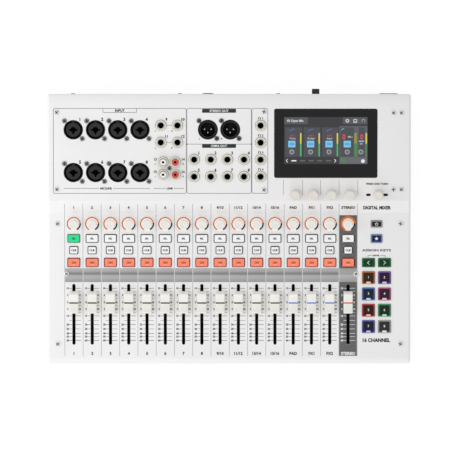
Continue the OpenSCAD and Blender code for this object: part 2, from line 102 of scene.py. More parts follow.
RAMP_FOOT_Y, RAMP_TOP_Y, CREST_Y = 18.3, 32.4, 142.0
fader_deck = Plane(RING_Y, knob_places[0][2], TILT)
rear_deck = Plane(DIAL_Y, dial_places[0][2], TILT)
ramp_rise = rear_deck.height(RAMP_TOP_Y) - fader_deck.height(RAMP_FOOT_Y)
ramp = Plane(RAMP_FOOT_Y, fader_deck.height(RAMP_FOOT_Y),
             math.atan2(ramp_rise, RAMP_TOP_Y - RAMP_FOOT_Y))

# layout shared with the CAD
WALL = 2.4
LIP_R, LIP_STEPS = 8.0, 14
REAR_LIP_H = 11.0
EDGE_R = 3.0
SEL, CUE, ON = (-10.75, 13.9, 9.3), (-24.15, 9.6, 8.7), (-38.25, 14.2, 10.1)
KEY_GAP = 0.35
KEY_PROUD = 1.4
KEY_FACE = KEY_PROUD - 0.1      # the dished middle of a key
FADER_Y = -83.6
SLOT_TOP, SLOT_BOTTOM, SLOT_W = -62.9, -132.3, 3.1
SLOT_Y, SLOT_L = (SLOT_TOP + SLOT_BOTTOM) / 2, SLOT_TOP - SLOT_BOTTOM
RIGHT_X, RIGHT_GAP = 168.6, 18.3
BANK_Y, BANK = -38.4, (14.3, 10.1)
USER_Y, USER_PITCH, USER = -55.6, 18.65, (14.3, 14.3)
HOME_Y, HOME = 5.8, (12.7, 7.6)
STAR_Y, STAR = -10.9, (12.7, 9.6)
SCREEN_AT, SCREEN = (110.4, 97.7), (117.4, 79.0)
COMBOS = [(-177.6 + 25.37 * i, y) for y in (113.1, 64.4) for i in range(4)]
OUTPUTS = [(-24.1, 113.3), (1.4, 113.3)]
LINES = [(x, y) for y in (118.2, 98.8) for x in (-77.8, -58.8)]
OMNIS = [(-39.8 + 18.97 * i, y) for y in (79.3, 59.8) for i in range(4)]
PHONES = [(36.0, 59.8 + 19.4 * i) for i in (3, 2, 1, 0)]
PHONOS = [(x, y) for y in (76.6, 62.4) for x in (-75.2, -61.3)]
FLANGE_SCREW = 10.1
EDGE_SCREWS = [(-196.7, 133), (-196.5, 45.2), (39.9, 133.7), (39.9, 44.5),
               (187.5, 132.4), (196.5, 132.4), (187.5, 45.1), (196.5, 45.1)]
DECK_SCREWS = [(-196, 6), (196, 6), (-196, -131.5), (196, -131.5)]
BAND_SCREWS = [(-185.8, -51.3), (145, -51.3)]
BAND_TOP, BAND_BOTTOM = -44.7, -60.7
REAR_SCREW_X, REAR_SCREW_Z = (-177.8, -56.1, 56.1, 177.8), (14, 74)
LABELS = ["1", "2", "3", "4", "5", "6", "7", "8", "9/10", "11/12", "13/14", "15/16",
          "PAD", "FX1", "FX2", "STEREO"]

# ---- camera and light

scene = bpy.context.scene
scene.view_settings.view_transform = "Standard"
scene.view_settings.look = "None"

VIEW_WIDTH = 0.523
CAMERA_UP = 12.0
mean_height = (fader_deck.height(-60) + rear_deck.height(90)) / 2 * MM

cam_data = bpy.data.cameras.new("camera")
cam_data.sensor_width = 36.0
cam_data.lens = cam_data.sensor_width * CAMERA_UP / VIEW_WIDTH
cam_data.clip_end = 50
camera = bpy.data.objects.new("camera", cam_data)
camera.location = (0, CASE_Y * MM, mean_height + CAMERA_UP)
scene.collection.objects.link(camera)
scene.camera = camera


def area_light(name, place, size, power):
    """A soft box that faces the console."""
    data = bpy.data.lights.new(name, "AREA")
    data.shape = "RECTANGLE"
    data.size, data.size_y = size
    data.energy = power
    light = bpy.data.objects.new(name, data)
    light.location = place
    direction = Vector((0, 0, 0.05)) - Vector(place)
    light.rotation_euler = direction.to_track_quat("-Z", "Y").to_euler()
    scene.collection.objects.link(light)


area_light("key_soft", (-1.1, -0.1, 1.0), (1.5, 1.5), 9.0)
area_light("front_soft", (-0.4, -2.2, 1.2), (2.6, 1.6), 14)

world = bpy.data.worlds.new("studio")
world.use_nodes = True
background = world.node_tree.nodes["Background"].inputs
background["Color"].default_value = (1, 1, 1, 1)
background["Strength"].default_value = 0.74
scene.world = world

# ---- materials


def rgb(r, g, b):
    """A screen colour, 0 to 255, as the linear colour a shader wants."""
    def linear(v):
        v /= 255
        return v / 12.92 if v <= 0.04045 else ((v + 0.055) / 1.055) ** 2.4
    return (linear(r), linear(g), linear(b), 1.0)


class Shader:
    """A Principled material with short ways to add procedural detail."""

    def __init__(self, name, base, rough, metal=0.0, specular=0.5):
        self.material = bpy.data.materials.new(name)
        self.material.use_nodes = True
        self.material.diffuse_color = base
        self.tree = self.material.node_tree
        self.bsdf = self.tree.nodes["Principled BSDF"]
        self.base, self.rough = base, rough
        self.put(self.bsdf, Base_Color=base, Roughness=rough, Metallic=metal,
                 Specular_IOR_Level=specular)
        self.coords = self.tree.nodes.new("ShaderNodeTexCoord").outputs["Object"]

    def put(self, node, **values):
        for name, value in values.items():
            node.inputs[name.replace("_", " ")].default_value = value
        return self

    def node(self, kind, source, into, **values):
        """A new node fed from one socket, with some of its other inputs set."""
        made = self.tree.nodes.new("ShaderNode" + kind)
        self.put(made, **values)
        self.tree.links.new(source, made.inputs[into])
        return made

    def feed(self, source, into):
        self.tree.links.new(source, self.bsdf.inputs[into])
        return self

    def noise(self, scale, detail):
        return self.node("TexNoise", self.coords, "Vector", Scale=scale,
                         Detail=detail).outputs["Fac"]

    def mottle(self, scale, amount):
        """Slight light and dark patches in the base colour."""
        steps = self.node("ValToRGB", self.noise(scale, 4.0), "Fac")
        for k, (at, share) in enumerate(((0.3, 1 - amount), (0.7, 1 + amount))):
            stop = steps.color_ramp.elements[k]
            stop.color = [min(1.0, c * share) for c in self.base[:3]] + [1]
            stop.position = at
        return self.feed(steps.outputs["Color"], "Base Color")

    def uneven(self, scale, amount):
        """Roughness that varies over the surface."""
        node = self.node("MapRange", self.noise(scale, 4.0), "Value",
                         To_Min=max(0.02, self.rough - amount),
                         To_Max=min(1.0, self.rough + amount))
        return self.feed(node.outputs["Result"], "Roughness")

    def bump(self, scale, height, strength):
        node = self.node("Bump", self.noise(scale, 3.0), "Height", Strength=strength,
                         Distance=height)
        return self.feed(node.outputs["Normal"], "Normal")

    def glow(self, colour, strength):
        return self.put(self.bsdf, Emission_Color=colour, Emission_Strength=strength)

    def done(self):
        return self.material


# Each maker takes a screen colour, 0 to 255.


def paint(name, colour, rough=0.42):
    """Satin powder coat with a fine orange-peel texture."""
    return (Shader(name, rgb(*colour), rough, specular=0.4).mottle(14, 0.012)
            .uneven(90, 0.06).bump(2600, 0.00004, 0.35).done())


def plastic(name, colour, rough=0.4, grain=3200, amount=0.02, specular=0.45):
    return (Shader(name, rgb(*colour), rough, specular=specular).mottle(160, amount)
            .uneven(300, 0.06).bump(grain, 0.00003, 0.25).done())


def ink(name, colour):
    """Screen-printed ink: matt, with a little unevenness in its cover."""
    return (Shader(name, rgb(*colour), 0.6, specular=0.1).mottle(900, 0.08)
            .bump(5000, 0.00001, 0.2).done())


def metal(name, colour, rough=0.28):
    return (Shader(name, rgb(*colour), rough, metal=1.0).mottle(400, 0.06)
            .uneven(700, 0.08).bump(1800, 0.00002, 0.25).done())


def lit(name, colour, share=0.5, rough=0.4, specular=0.12):
    """Plastic that gives a share of its colour off as light: on keys, glyphs and the rings a lamp
    behind translucent plastic; on screws, socket washers, phono inserts, knobs, dials and fader
    caps a painted glow that lifts their shade.
    """
    colour = rgb(*colour)
    base = tuple(c * (1 - share) for c in colour[:3]) + (1,)
    return (Shader(name, base, rough, specular=specular).mottle(220, 0.04).uneven(300, 0.05)
            .bump(3000, 0.00002, 0.2).glow(colour, share).done())


M_WHITE = paint("white_paint", (230, 229, 229))
M_STEEL = paint("case_steel", (52, 53, 55), 0.55)
M_REAR = paint("rear_plate", (44, 45, 47), 0.5)
M_RUBBER = plastic("rubber", (28, 28, 29), 0.8, 900, 0.1)
# The bright screw heads glow a little: painted light that brightens them, as no lamp is in them.
M_SCREW_GLOW = lit("screw_steel", (214, 214, 213), 0.15, 0.45, 0.4)
M_SCREW_GREY = metal("screw_grey", (142, 142, 141), 0.5)
M_SCREW_WHITE = paint("screw_white", (226, 226, 222), 0.3)
# Near-black lining for the screws' cross recesses: painted shade in the recess.
M_RECESS_SHADE = plastic("screw_recess_shade", (26, 26, 26), 0.7, specular=0.05)
M_GLASS = (Shader("black_glass", rgb(32, 32, 33), 0.09, specular=0.15).mottle(20, 0.05)
           .uneven(8, 0.02).done())
M_DISPLAY_FRAME = plastic("display_frame", (40, 41, 43), 0.5)
M_SOCKET = plastic("socket_black", (24, 24, 25), 0.5, 1800, 0.08, 0.15)
M_SOCKET_FACE = plastic("socket_face", (44, 44, 45), 0.5, 1800, 0.06, 0.15)
M_SOCKET_PIN = metal("socket_pin", (205, 205, 202), 0.4)
# Near-black, darker than the sockets' own black plastic: partly that plastic, partly painted shade
# deep in the socket holes and in the rear screws' recesses.
M_HOLLOW_SHADE = plastic("socket_hollow_shade", (7, 7, 7), 0.7, specular=0.05)
M_NICKEL = metal("socket_nickel", (226, 222, 206), 0.3)
# Socket washers and phono inserts glow: a painted glow that lifts the shade in and round the
# sockets.
M_WASHER_GLOW = lit("socket_washer", (240, 239, 233), 0.3)
M_GOLD = metal("phono_gold", (172, 158, 128), 0.45)
M_PHONO_WHITE_GLOW = lit("phono_white", (242, 241, 238), 0.35)
M_PHONO_RED_GLOW = lit("phono_red", (218, 88, 76), 0.4)
M_MECHANISM = metal("mechanism_steel", (150, 152, 156), 0.35)
M_BOARD = plastic("board_green", (28, 82, 46), 0.35, 700, 0.2)
M_KEY = plastic("key_white", (236, 237, 238), 0.38)
M_KEY_GREEN = lit("key_lit_green", (46, 222, 144), 0.6)
M_KEY_ORANGE = lit("key_lit_orange", (252, 138, 112), 0.7)
M_KEY_SPOT = lit("key_lamp_spot", (255, 190, 165), 0.7)
M_RING = lit("ring_lit_orange", (198, 98, 20), 0.8)
M_RING_GLOW = lit("ring_glow", (252, 242, 230), 0.6)
M_RING_OFF = plastic("ring_unlit", (20, 22, 42), 0.5, specular=0.05)
# Knobs, dials and fader caps glow a little: a painted glow that lifts the shade on their sides and
# ends, more on the channel knobs' sides than on their tops.
M_KNOB_GLOW = lit("knob_white", (234, 231, 228), 0.35)
M_KNOB_TOP_GLOW = lit("knob_top", (226, 225, 225), 0.25)
M_IVORY_GLOW = lit("knob_ivory", (220, 216, 208), 0.2, 0.45, 0.3)
M_CAP_GLOW = lit("fader_cap", (232, 231, 225), 0.3, 0.45, 0.3)
M_CAP_LINE = plastic("fader_line_dark", (46, 42, 34), 0.6, specular=0.2)
M_CAP_BLUE = plastic("fader_line_blue", (70, 122, 208), 0.5)
M_CAP_RED = plastic("fader_line_red", (206, 84, 60), 0.5)
M_BUTTON = plastic("button_black", (30, 30, 31), 0.4)
M_SLOT = plastic("slot_black", (8, 8, 8), 0.7, specular=0.1)
# The steel fader units are made nearly black so nothing bright shows under the slots: painted
# shade.
M_FADER_UNIT_SHADE = metal("fader_unit_steel_shade", (42, 43, 45), 0.5)
M_INK = ink("ink_grey", (58, 59, 62))
M_INK_DARK = ink("ink_dark", (26, 27, 30))
M_INK_MID = ink("ink_mid", (96, 98, 100))
M_INK_PALE = ink("ink_pale", (140, 142, 145))
M_INK_WHITE = ink("ink_white", (225, 226, 227))
M_LINE = ink("ink_line", (148, 150, 152))
M_INK_FRAME = ink("ink_frame", (84, 86, 88))
M_STEREO = paint("stereo_dark", (92, 92, 94), 0.5)
M_TAG = ink("tag_black", (52, 53, 56))
M_FLOOR = (Shader("floor_pale", (0.16, 0.16, 0.16, 1), 0.9, specular=0.1).mottle(3, 0.004)
           .glow((1, 1, 1, 1), 0.9).done())
# Darker rims round the faces of the SEL, CUE and ON keys: painted shade for the gap and shadow
# round each key, tinted on keys with a lamp behind them.
M_KEY_RIM_SHADE = plastic("key_rim_shade_grey", (62, 63, 66), 0.6, specular=0.15)
M_KEY_RIM_SHADE_GREEN = lit("key_rim_shade_green", (48, 128, 84), 0.3)
M_KEY_RIM_SHADE_RED = lit("key_rim_shade_red", (88, 40, 32), 0.3)
M_INK_RED = ink("ink_red", (132, 58, 40))
M_BANK = lit("bank_key_face", (24, 56, 34), 0.5)
M_BANK_EDGE = lit("bank_key_edge", (46, 112, 70), 0.6)
M_GLYPH = lit("glyph_white", (236, 238, 240), 0.7)
M_HOME = plastic("home_key_face", (26, 27, 30), 0.5, specular=0.15)
M_HOME_EDGE = plastic("home_key_edge", (140, 142, 148), 0.5)
M_STAR = lit("star_key_face", (24, 32, 82), 0.5)
M_STAR_EDGE = lit("star_key_edge", (116, 134, 166), 0.5)
USER_COLOURS = [("amber", (226, 128, 62)), ("purple", (150, 92, 196)), ("blue", (84, 130, 216)),
                ("magenta", (206, 84, 156)), ("red", (222, 70, 62)), ("green", (70, 176, 110)),
                ("indigo", (96, 96, 206)), ("white", (188, 186, 190))]
M_USER_FACES = [lit(f"user_face_{n}", [14 + 0.17 * v for v in c], 0.5)
                for n, c in USER_COLOURS]
M_USER_EDGES = [lit(f"user_edge_{n}", [26 + 0.66 * v for v in c], 0.6)
                for n, c in USER_COLOURS]
M_USER_LAMPS = [lit(f"user_lamp_{n}", [150 + 0.42 * v for v in c], 0.9)
                for n, c in USER_COLOURS]
M_RING_WARM = lit("ring_glow_warm", (255, 206, 166), 0.7)
# Orange arcs round the stereo knob: a painted pool of the ring's light on the dark panel.
M_PAINTED_HALOS = [lit(f"ring_painted_halo_{k}", c, 0.7)
           for k, c in enumerate([(212, 112, 60), (140, 92, 74)])]
# A low dark ring under each socket washer, whose rims show as dark lines round the washer: painted
# shadow at the washer's edges.
M_WASHER_SHADOW_RIM = plastic("socket_washer_shadow_rim", (112, 108, 84), 0.5)
M_SCREW_BLACK = metal("screw_black", (112, 112, 113), 0.5)


def screen_colour(name, colour):
    """Light from the display itself, under its cover glass."""
    return (Shader("display_" + name, rgb(8, 8, 9), 0.14, specular=0.1).mottle(30, 0.05)
            .uneven(10, 0.03).glow(rgb(*colour), 1.0).done())


UI = {name: screen_colour(name, colour) for name, colour in {
    "back": (64, 64, 67), "title": (88, 90, 94), "panel": (80, 81, 87), "group": (98, 99, 103),
    "text": (204, 206, 210), "grey": (168, 166, 168), "white": (242, 243, 245),
    "dim": (104, 106, 110), "on": (122, 198, 232), "blue": (78, 130, 206), "red": (222, 84, 84),
    "yellow": (224, 208, 84), "green": (80, 182, 104), "olive": (148, 144, 74),
    "deep_green": (72, 138, 84)}.items()}


def sheen_band_material(name, stops):
    """A glossy printed grey strip with painted reflection and shade in bands across its width: grey
    levels at shares of the way to the front.
    """
    shader = Shader(name, rgb(150, 150, 150), 0.4, specular=0.4)
    split = shader.node("SeparateXYZ", shader.coords, "Vector")
    share = shader.node("MapRange", split.outputs["Y"], "Value",
                        From_Min=(BAND_TOP + CASE_Y) * MM, From_Max=(BAND_BOTTOM + CASE_Y) * MM)
    steps = shader.node("ValToRGB", share.outputs["Result"], "Fac")
    elements = steps.color_ramp.elements
    for k, (at, grey) in enumerate(stops):
        stop = elements[k] if k < 2 else elements.new(at)
        stop.position = at
        stop.color = rgb(grey, grey, grey)
    shader.feed(steps.outputs["Color"], "Base Color")
    return shader.uneven(60, 0.05).bump(2400, 0.00002, 0.2).done()


# The band's grey is printed; the lighter and darker bands in it are painted reflection and shade of
# a curved strip.
M_BAND_SHEEN = sheen_band_material("band_grey_painted_sheen", [(0, 172), (1, 146), (0.22, 160), (0.36, 128), (0.42, 118),
                                     (0.48, 152), (0.6, 172), (0.85, 158)])
M_BAND_SHEEN_PALE = sheen_band_material("band_pale_painted_sheen", [(0, 150), (1, 150), (0.3, 158), (0.4, 150),
                                            (0.55, 176), (0.8, 160)])
M_BAND_SEAM = plastic("band_seam", (198, 198, 198), 0.4)


# ---- mesh building


def circle(r, n=48):
    return [(r * math.cos(2 * math.pi * i / n), r * math.sin(2 * math.pi * i / n))
            for i in range(n)]


def rounded(w, d, r, n=5):
    """A rounded rectangle as a loop of points; every call with the same n has as many points."""
    r = max(r, 1e-4)
    points = []
    for cx, cy, start in ((1, 1, 0), (-1, 1, 90), (-1, -1, 180), (1, -1, 270)):
        for i in range(n + 1):
            a = math.radians(start + 90 * i / n)
            points.append((cx * (w / 2 - r) + r * math.cos(a), cy * (d / 2 - r) + r * math.sin(a)))
    return points


def shifted(place, x, y):
    """A local frame moved by x and y mm within its own plane."""
    return place @ Matrix.Translation((x * MM, y * MM, 0))


def mesh_object(name, points, faces):
    mesh = bpy.data.meshes.new(name)
    mesh.from_pydata(points, [], faces)
    mesh.update()
    thing = bpy.data.objects.new(name, mesh)
    scene.collection.objects.link(thing)
    return thing


BOLD = 0.045     # how far letters are thickened, as a share of their size
POINTS = 64      # corners of the loops that other loops are joined to
SHARP_ANGLE = 35


class Piece:
    """Collects shapes given in millimetres, then makes one object that rides on a body."""

    def __init__(self, name, body="console"):
        self.name, self.body = name, body
        self.points, self.faces, self.which = [], [], []
        self.materials = []
        self.smooth = []

    def material(self, material):
        if material not in self.materials:
            self.materials.append(material)
        return self.materials.index(material)

    def add(self, matrix, points, faces, material, smooth=True):
        start, m = len(self.points), self.material(material)
        self.points += [matrix @ Vector((p[0] * MM, p[1] * MM, p[2] * MM)) for p in points]
        self.faces += [[start + i for i in f] for f in faces]
        self.which += [m] * len(faces)
        self.smooth += [smooth] * len(faces)

    def stack(self, matrix, rings, material, cap_top=True, cap_bottom=True, closed=False):
        """Skins a pile of loops, each (points, z), with as many points in each."""
        n = len(rings[0][0])
        points = [(x, y, z) for loop, z in rings for x, y in loop]
        faces = []
        for k in range(len(rings) - 1):
            a, b = k * n, (k + 1) * n
            faces += [[a + i, a + (i + 1) % n, b + (i + 1) % n, b + i] for i in range(n)]
        if closed:
            a = (len(rings) - 1) * n
            faces += [[a + i, a + (i + 1) % n, (i + 1) % n, i] for i in range(n)]
        else:
            if cap_bottom:
                faces.append(list(range(n))[::-1])
            if cap_top:
                faces.append([(len(rings) - 1) * n + i for i in range(n)])
        self.add(matrix, points, faces, material)

    def block(self, matrix, w, d, low, high, r, edge, material, dish=0.0, n=5):
        """A rounded block whose top edge is rolled over by edge; dish hollows its face."""
        def loop(inset):
            return rounded(w - 2 * inset, d - 2 * inset, max(r - inset, 0.05), n)
        rings = [(rounded(w, d, r, n), low)]
        for a in (math.pi / 2 * k / 3 for k in range(4)):
            rings.append((loop(edge * (1 - math.cos(a))), high - edge + edge * math.sin(a)))
        for share in (0.75, 0.45) if dish else ():
            rings.append((loop(min(w, d) / 2 * (1 - share)), high - dish * (1 - share * share)))
        self.stack(matrix, rings, material)

    def lathe(self, matrix, profile, material, n=48, closed=False):
        """Turns a profile of (radius, z) round the local Z axis."""
        self.stack(matrix, [(circle(max(r, 1e-3), n), z) for r, z in profile], material,
                   closed=closed)

    def ring(self, matrix, inner, outer, low, high, material, edge=0.15, n=48):
        """A tube with its top edges broken by edge."""
        self.lathe(matrix, [(inner, low), (outer, low), (outer, high - edge), (outer - edge, high),
                            (inner + edge, high), (inner, high - edge)], material, n, closed=True)

    def slab(self, matrix, outline, low, high, material):
        """A flat plate of any outline."""
        self.stack(matrix, [(outline, low), (outline, high)], material)

    def plate(self, matrix, w, d, r, hole, low, high, material):
        """A rounded plate with a round hole through its middle."""
        outer, inner = rounded(w, d, r, POINTS // 4 - 1), circle(hole, POINTS)
        self.stack(matrix, [(inner, low), (outer, low), (outer, high), (inner, high)], material,
                   closed=True)

    def arc(self, matrix, inner, outer, start, end, low, high, material, n=40):
        """Part of a flat ring, from start to end degrees, counter-clockwise from +X."""
        angles = [math.radians(start + (end - start) * i / n) for i in range(n + 1)]
        section = [(inner, low), (outer, low), (outer, high), (inner, high)]
        points = [(r * math.cos(a), r * math.sin(a), z) for a in angles for r, z in section]
        faces = [[4 * i + k, 4 * i + 4 + k, 4 * i + 4 + (k + 1) % 4, 4 * i + (k + 1) % 4]
                 for i in range(n) for k in range(4)]
        faces = [f[::-1] for f in faces] + [[0, 1, 2, 3], [4 * n + 3, 4 * n + 2, 4 * n + 1, 4 * n]]
        self.add(matrix, points, faces, material)

    def bar(self, matrix, x0, y0, x1, y1, width, material, low=SUNK, high=INK):
        """A straight printed line between two points."""
        length = math.hypot(x1 - x0, y1 - y0)
        turn = Matrix.Rotation(math.atan2(y1 - y0, x1 - x0), 4, "Z")
        place = matrix @ Matrix.Translation(((x0 + x1) / 2 * MM, (y0 + y1) / 2 * MM, 0)) @ turn
        w, h = length / 2, width / 2
        self.slab(place, [(w, h), (-w, h), (-w, -h), (w, -h)], low, high, material)

    def text(self, matrix, body, height, material, bold=BOLD, stretch=1.0, wide=None, low=SUNK,
             high=INK):
        """Centred lettering of a given capital height, stretched to a width if one is given."""
        points, faces, width = letters(body, bold)
        size = height / CAPITAL
        shift = -width / 2
        if wide:
            stretch = wide / (width * size)
        middle = Matrix.Translation((0, -height / 2 * MM, 0))
        self.add(matrix @ middle,
                 [((x + shift) * size * stretch, y * size, high if z > 0 else low)
                  for x, y, z in points], faces, material, smooth=False)

    def build(self, slot=None, replaces=()):
        piece = mesh_object(self.name, [tuple(p) for p in self.points], self.faces)
        mesh = piece.data
        for m in self.materials:
            mesh.materials.append(m)
        mesh.polygons.foreach_set("material_index", self.which)
        mesh.polygons.foreach_set("use_smooth", self.smooth)
        mesh.update()
        mesh.set_sharp_from_angle(angle=math.radians(SHARP_ANGLE))
        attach(piece, self.body)
        if replaces:
            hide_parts(*replaces)
        return piece


def evaluated(thing):
    """A mesh of an object as it stands after its modifiers."""
    bpy.context.view_layer.update()
    return bpy.data.meshes.new_from_object(
        thing.evaluated_get(bpy.context.evaluated_depsgraph_get()))


_letters = {}


def letters(body, bold):
    """The mesh of a word in Blender's own font: points, faces and width, at font size 1."""
    if (body, bold) not in _letters:
        data = bpy.data.curves.new("letters", "FONT")
        data.body = body
        data.extrude = 0.01
        data.resolution_u = 3
        data.offset = bold
        thing = bpy.data.objects.new("letters", data)
        scene.collection.objects.link(thing)
        mesh = evaluated(thing)
        points = [tuple(v.co) for v in mesh.vertices]
        faces = [list(p.vertices) for p in mesh.polygons]
        left = min((p[0] for p in points), default=0.0)
        right = max((p[0] for p in points), default=0.0)
        _letters[body, bold] = ([(x - left, y, z) for x, y, z in points], faces, right - left)
        bpy.data.objects.remove(thing)
        bpy.data.curves.remove(data)
        bpy.data.meshes.remove(mesh)
    return _letters[body, bold]


CAPITAL = max(p[1] for p in letters("H", 0.0)[0])

# ---- the white shell


def crossing(m1, c1, m2, c2):
    y = (c2 - c1) / (m1 - m2)
    return (y, m1 * y + c1)


def side_view(inset, low):
    """The case's outline seen from the side as (y, z), set in on every face."""
    front_y = -CASE_D / 2 + LIP_R
    front_z = fader_deck.height(front_y)
    ramp_slope = math.tan(ramp.angle)
    drop = inset / math.cos(TILT)
    low_line = fader_deck.height(0) - drop
    ramp_line = ramp.height(0) - inset / math.cos(ramp.angle)
    high_line = rear_deck.height(0) - drop
    length = CASE_D / 2 - 2 - CREST_Y
    bend = (SLOPE + math.tan(math.radians(10))) / length
    points = [(-CASE_D / 2 + inset, low)]
    for k in range(LIP_STEPS + 1):
        a = math.pi - (math.pi / 2 - TILT) * k / LIP_STEPS
        points.append((front_y + (LIP_R - inset) * math.cos(a),
                       front_z - LIP_R / math.cos(TILT) + (LIP_R - inset) * math.sin(a)))
    points.append(crossing(SLOPE, low_line, ramp_slope, ramp_line))
    points.append(crossing(ramp_slope, ramp_line, SLOPE, high_line))
    crest_z = rear_deck.height(CREST_Y)
    for k in range(7):
        s = length * k / 6
        points.append((CREST_Y + s, crest_z - drop + SLOPE * s - bend * s * s / 2))
    edge = max(2 - inset, 0.05)
    for a in range(75, -1, -15):
        c, s = math.cos(math.radians(a)), math.sin(math.radians(a))
        points.append((CASE_D / 2 - 2 + edge * c - max(inset - 2, 0), crest_z - 2.35 + edge * s
                       - max(inset - 2, 0)))
    points.append((CASE_D / 2 - inset, low))
    return points


def loft(name, sections):
    """A closed solid skinned over (x, outline) sections."""
    n = len(sections[0][1])
    points = [(x * MM, (y + CASE_Y) * MM, z * MM) for x, outline in sections for y, z in outline]
    faces = [[k * n + i, (k + 1) * n + i, (k + 1) * n + (i + 1) % n, k * n + (i + 1) % n]
             for k in range(len(sections) - 1) for i in range(n)]
    faces += [list(range(n)), [(len(sections) - 1) * n + i for i in range(n)][::-1]]
    return mesh_object(name, points, faces)


def cut(thing, cutter):
    """Takes cutter away from thing, and removes cutter."""
    modifier = thing.modifiers.new("cut", "BOOLEAN")
    modifier.object = cutter
    modifier.operation = "DIFFERENCE"
    modifier.solver = "EXACT"
    mesh = evaluated(thing)
    thing.modifiers.remove(modifier)
    old = thing.data
    thing.data = mesh
    bpy.data.meshes.remove(old)
    data = cutter.data
    bpy.data.objects.remove(cutter)
    bpy.data.meshes.remove(data)


def deck_cutters():
    """One object with every opening through the decks."""
    tool = Piece("openings")
    deep, high = -3 * WALL, 3.0

    def through(plane, x, y, outline):
        tool.slab(plane.at(x, y), outline, deep, high, M_WHITE)

    def key_hole(x, y, w, d):
        through(fader_deck, x, y, rounded(w + 2 * KEY_GAP, d + 2 * KEY_GAP, 1.2))

    for x in STRIP_X:
        through(fader_deck, x, RING_Y, circle(RING_HOLE_R, 40))
        for y, w, d in (SEL, CUE, ON):
            key_hole(x, y, w, d)
        through(fader_deck, x, SLOT_Y, rounded(SLOT_W, SLOT_L, 1.5))
    key_hole(RIGHT_X, HOME_Y, *HOME)
    key_hole(RIGHT_X, STAR_Y, *STAR)
    for s in (-0.5, 0.5):
        x = RIGHT_X + s * RIGHT_GAP
        key_hole(x, BANK_Y, *BANK)
        for row in range(4):
            key_hole(x, USER_Y - row * USER_PITCH, *USER)
    through(rear_deck, *SCREEN_AT, rounded(SCREEN[0] + 0.5, SCREEN[1] + 0.5, 2.2))
    dials = [(x, DIAL_Y) for x in [p[0] for p in dial_places] + [turn_place[0]]]
    for places, radius, corners in ((dials, 4.0, 32), (COMBOS, 11.15, 48), (OUTPUTS, 11.45, 48),
                                    (LINES + OMNIS + PHONES, 4.6, 32), (PHONOS, 4.4, 32)):
        for x, y in places:
            through(rear_deck, x, y, circle(radius, corners))
    return mesh_object("openings", [tuple(p) for p in tool.points], tool.faces)


def make_shell():
    half = CASE_W / 2
    left = [(-half + EDGE_R * (1 - math.cos(a)), EDGE_R * (1 - math.sin(a)))
            for a in (math.pi / 2 * k / 6 for k in range(7))]
    sections = [(x, side_view(inset, PARTING_Z)) for x, inset in left]
    sections += [(-x, side_view(inset, PARTING_Z)) for x, inset in left[::-1]]
    shell = loft("top_shell", sections)
    inner = side_view(WALL, PARTING_Z - 5)
    cut(shell, loft("hollow", [(-half + WALL, inner), (half - WALL, inner)]))
    top = rear_deck.height(CREST_Y) - REAR_LIP_H
    back = [(CASE_D / 2 - WALL - 1, PARTING_Z - 5), (CASE_D / 2 - WALL - 1, top),
            (CASE_D / 2 + 2, top), (CASE_D / 2 + 2, PARTING_Z - 5)]
    cut(shell, loft("back_opening", [(-half + WALL, back), (half - WALL, back)]))
    cut(shell, deck_cutters())
    mesh = shell.data
    mesh.materials.clear()
    mesh.materials.append(M_WHITE)
    mesh.polygons.foreach_set("use_smooth", [True] * len(mesh.polygons))
    mesh.set_sharp_from_angle(angle=math.radians(28))
    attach(shell, "console")
    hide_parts("top_panel")


make_shell()

# ---- keys


def key_row(name, places, faces, rims, words="", letters_in=None, high=2.0, rim_w=0.6):
    """Keys on the fader deck: (x, y, width, depth) each, riding on the body of the same name."""
    piece = Piece(name, name)
    for (x, y, w, d), face, rim in zip(places, faces, rims, strict=True):
        here = fader_deck.at(x, y)
        piece.block(here, w + 1.6, d + 1.6, -WALL - 1.5, -WALL - 0.4, 1.0, 0.15, M_BUTTON)
        # The rim: on SEL, CUE and ON keys a band of painted shade round the face; on the other keys
        # their coloured frame.
        piece.block(here, w, d, -WALL - 0.5, KEY_PROUD - 0.25, 1.0, 0.3, rim)
        piece.block(here, w - 2 * rim_w, d - 2 * rim_w, KEY_PROUD - 0.6, KEY_PROUD, 0.8, 0.25, face,
                    dish=0.12)
        if words:
            piece.text(fader_deck.at(x, y, KEY_FACE), words, high, letters_in)
    return piece


WIDE_RIM = 1.15
STEREO_STRIP = 15
sel = key_row("sel_keys", [(x, *SEL) for x in STRIP_X], [M_KEY_GREEN] + [M_KEY] * 15,
              [M_KEY_RIM_SHADE_GREEN] + [M_KEY_RIM_SHADE] * 15, "SEL", M_INK)
sel.build("key_white", ["sel_keys"])
cue = key_row("cue_keys", [(x, *CUE) for x in STRIP_X], [M_KEY] * 16, [M_KEY_RIM_SHADE] * 16, "CUE",
              M_INK_DARK, 2.1)
cue.build("key_white", ["cue_keys"])
on = key_row("on_keys", [(x, *ON) for x in STRIP_X], [M_KEY_ORANGE] * 16, [M_KEY_RIM_SHADE_RED] * 16, "ON",
             M_INK_RED, 2.2)
for x in STRIP_X:
    here = fader_deck.at(x, ON[0] - ON[2] / 2 + 2.3, KEY_FACE)
    on.slab(here, [(2.3 * c, 0.8 * s) for c, s in circle(1, 24)], SUNK, 0.02, M_KEY_SPOT)
on.build("key_lit_orange", ["on_keys"])

bank_xs = [RIGHT_X - RIGHT_GAP / 2, RIGHT_X + RIGHT_GAP / 2]
bank = key_row("bank_keys", [(x, BANK_Y, *BANK) for x in bank_xs], [M_BANK] * 2, [M_BANK_EDGE] * 2,
               rim_w=WIDE_RIM)
for x, way in zip(bank_xs, (-1, 1)):
    here = fader_deck.at(x, BANK_Y, KEY_FACE)
    for s in (-1, 1):
        bank.bar(here, way * 1.3, 0, -way * 1.1, s * 2.1, 0.5, M_GLYPH)
bank.build("key_dark", ["bank_keys"])

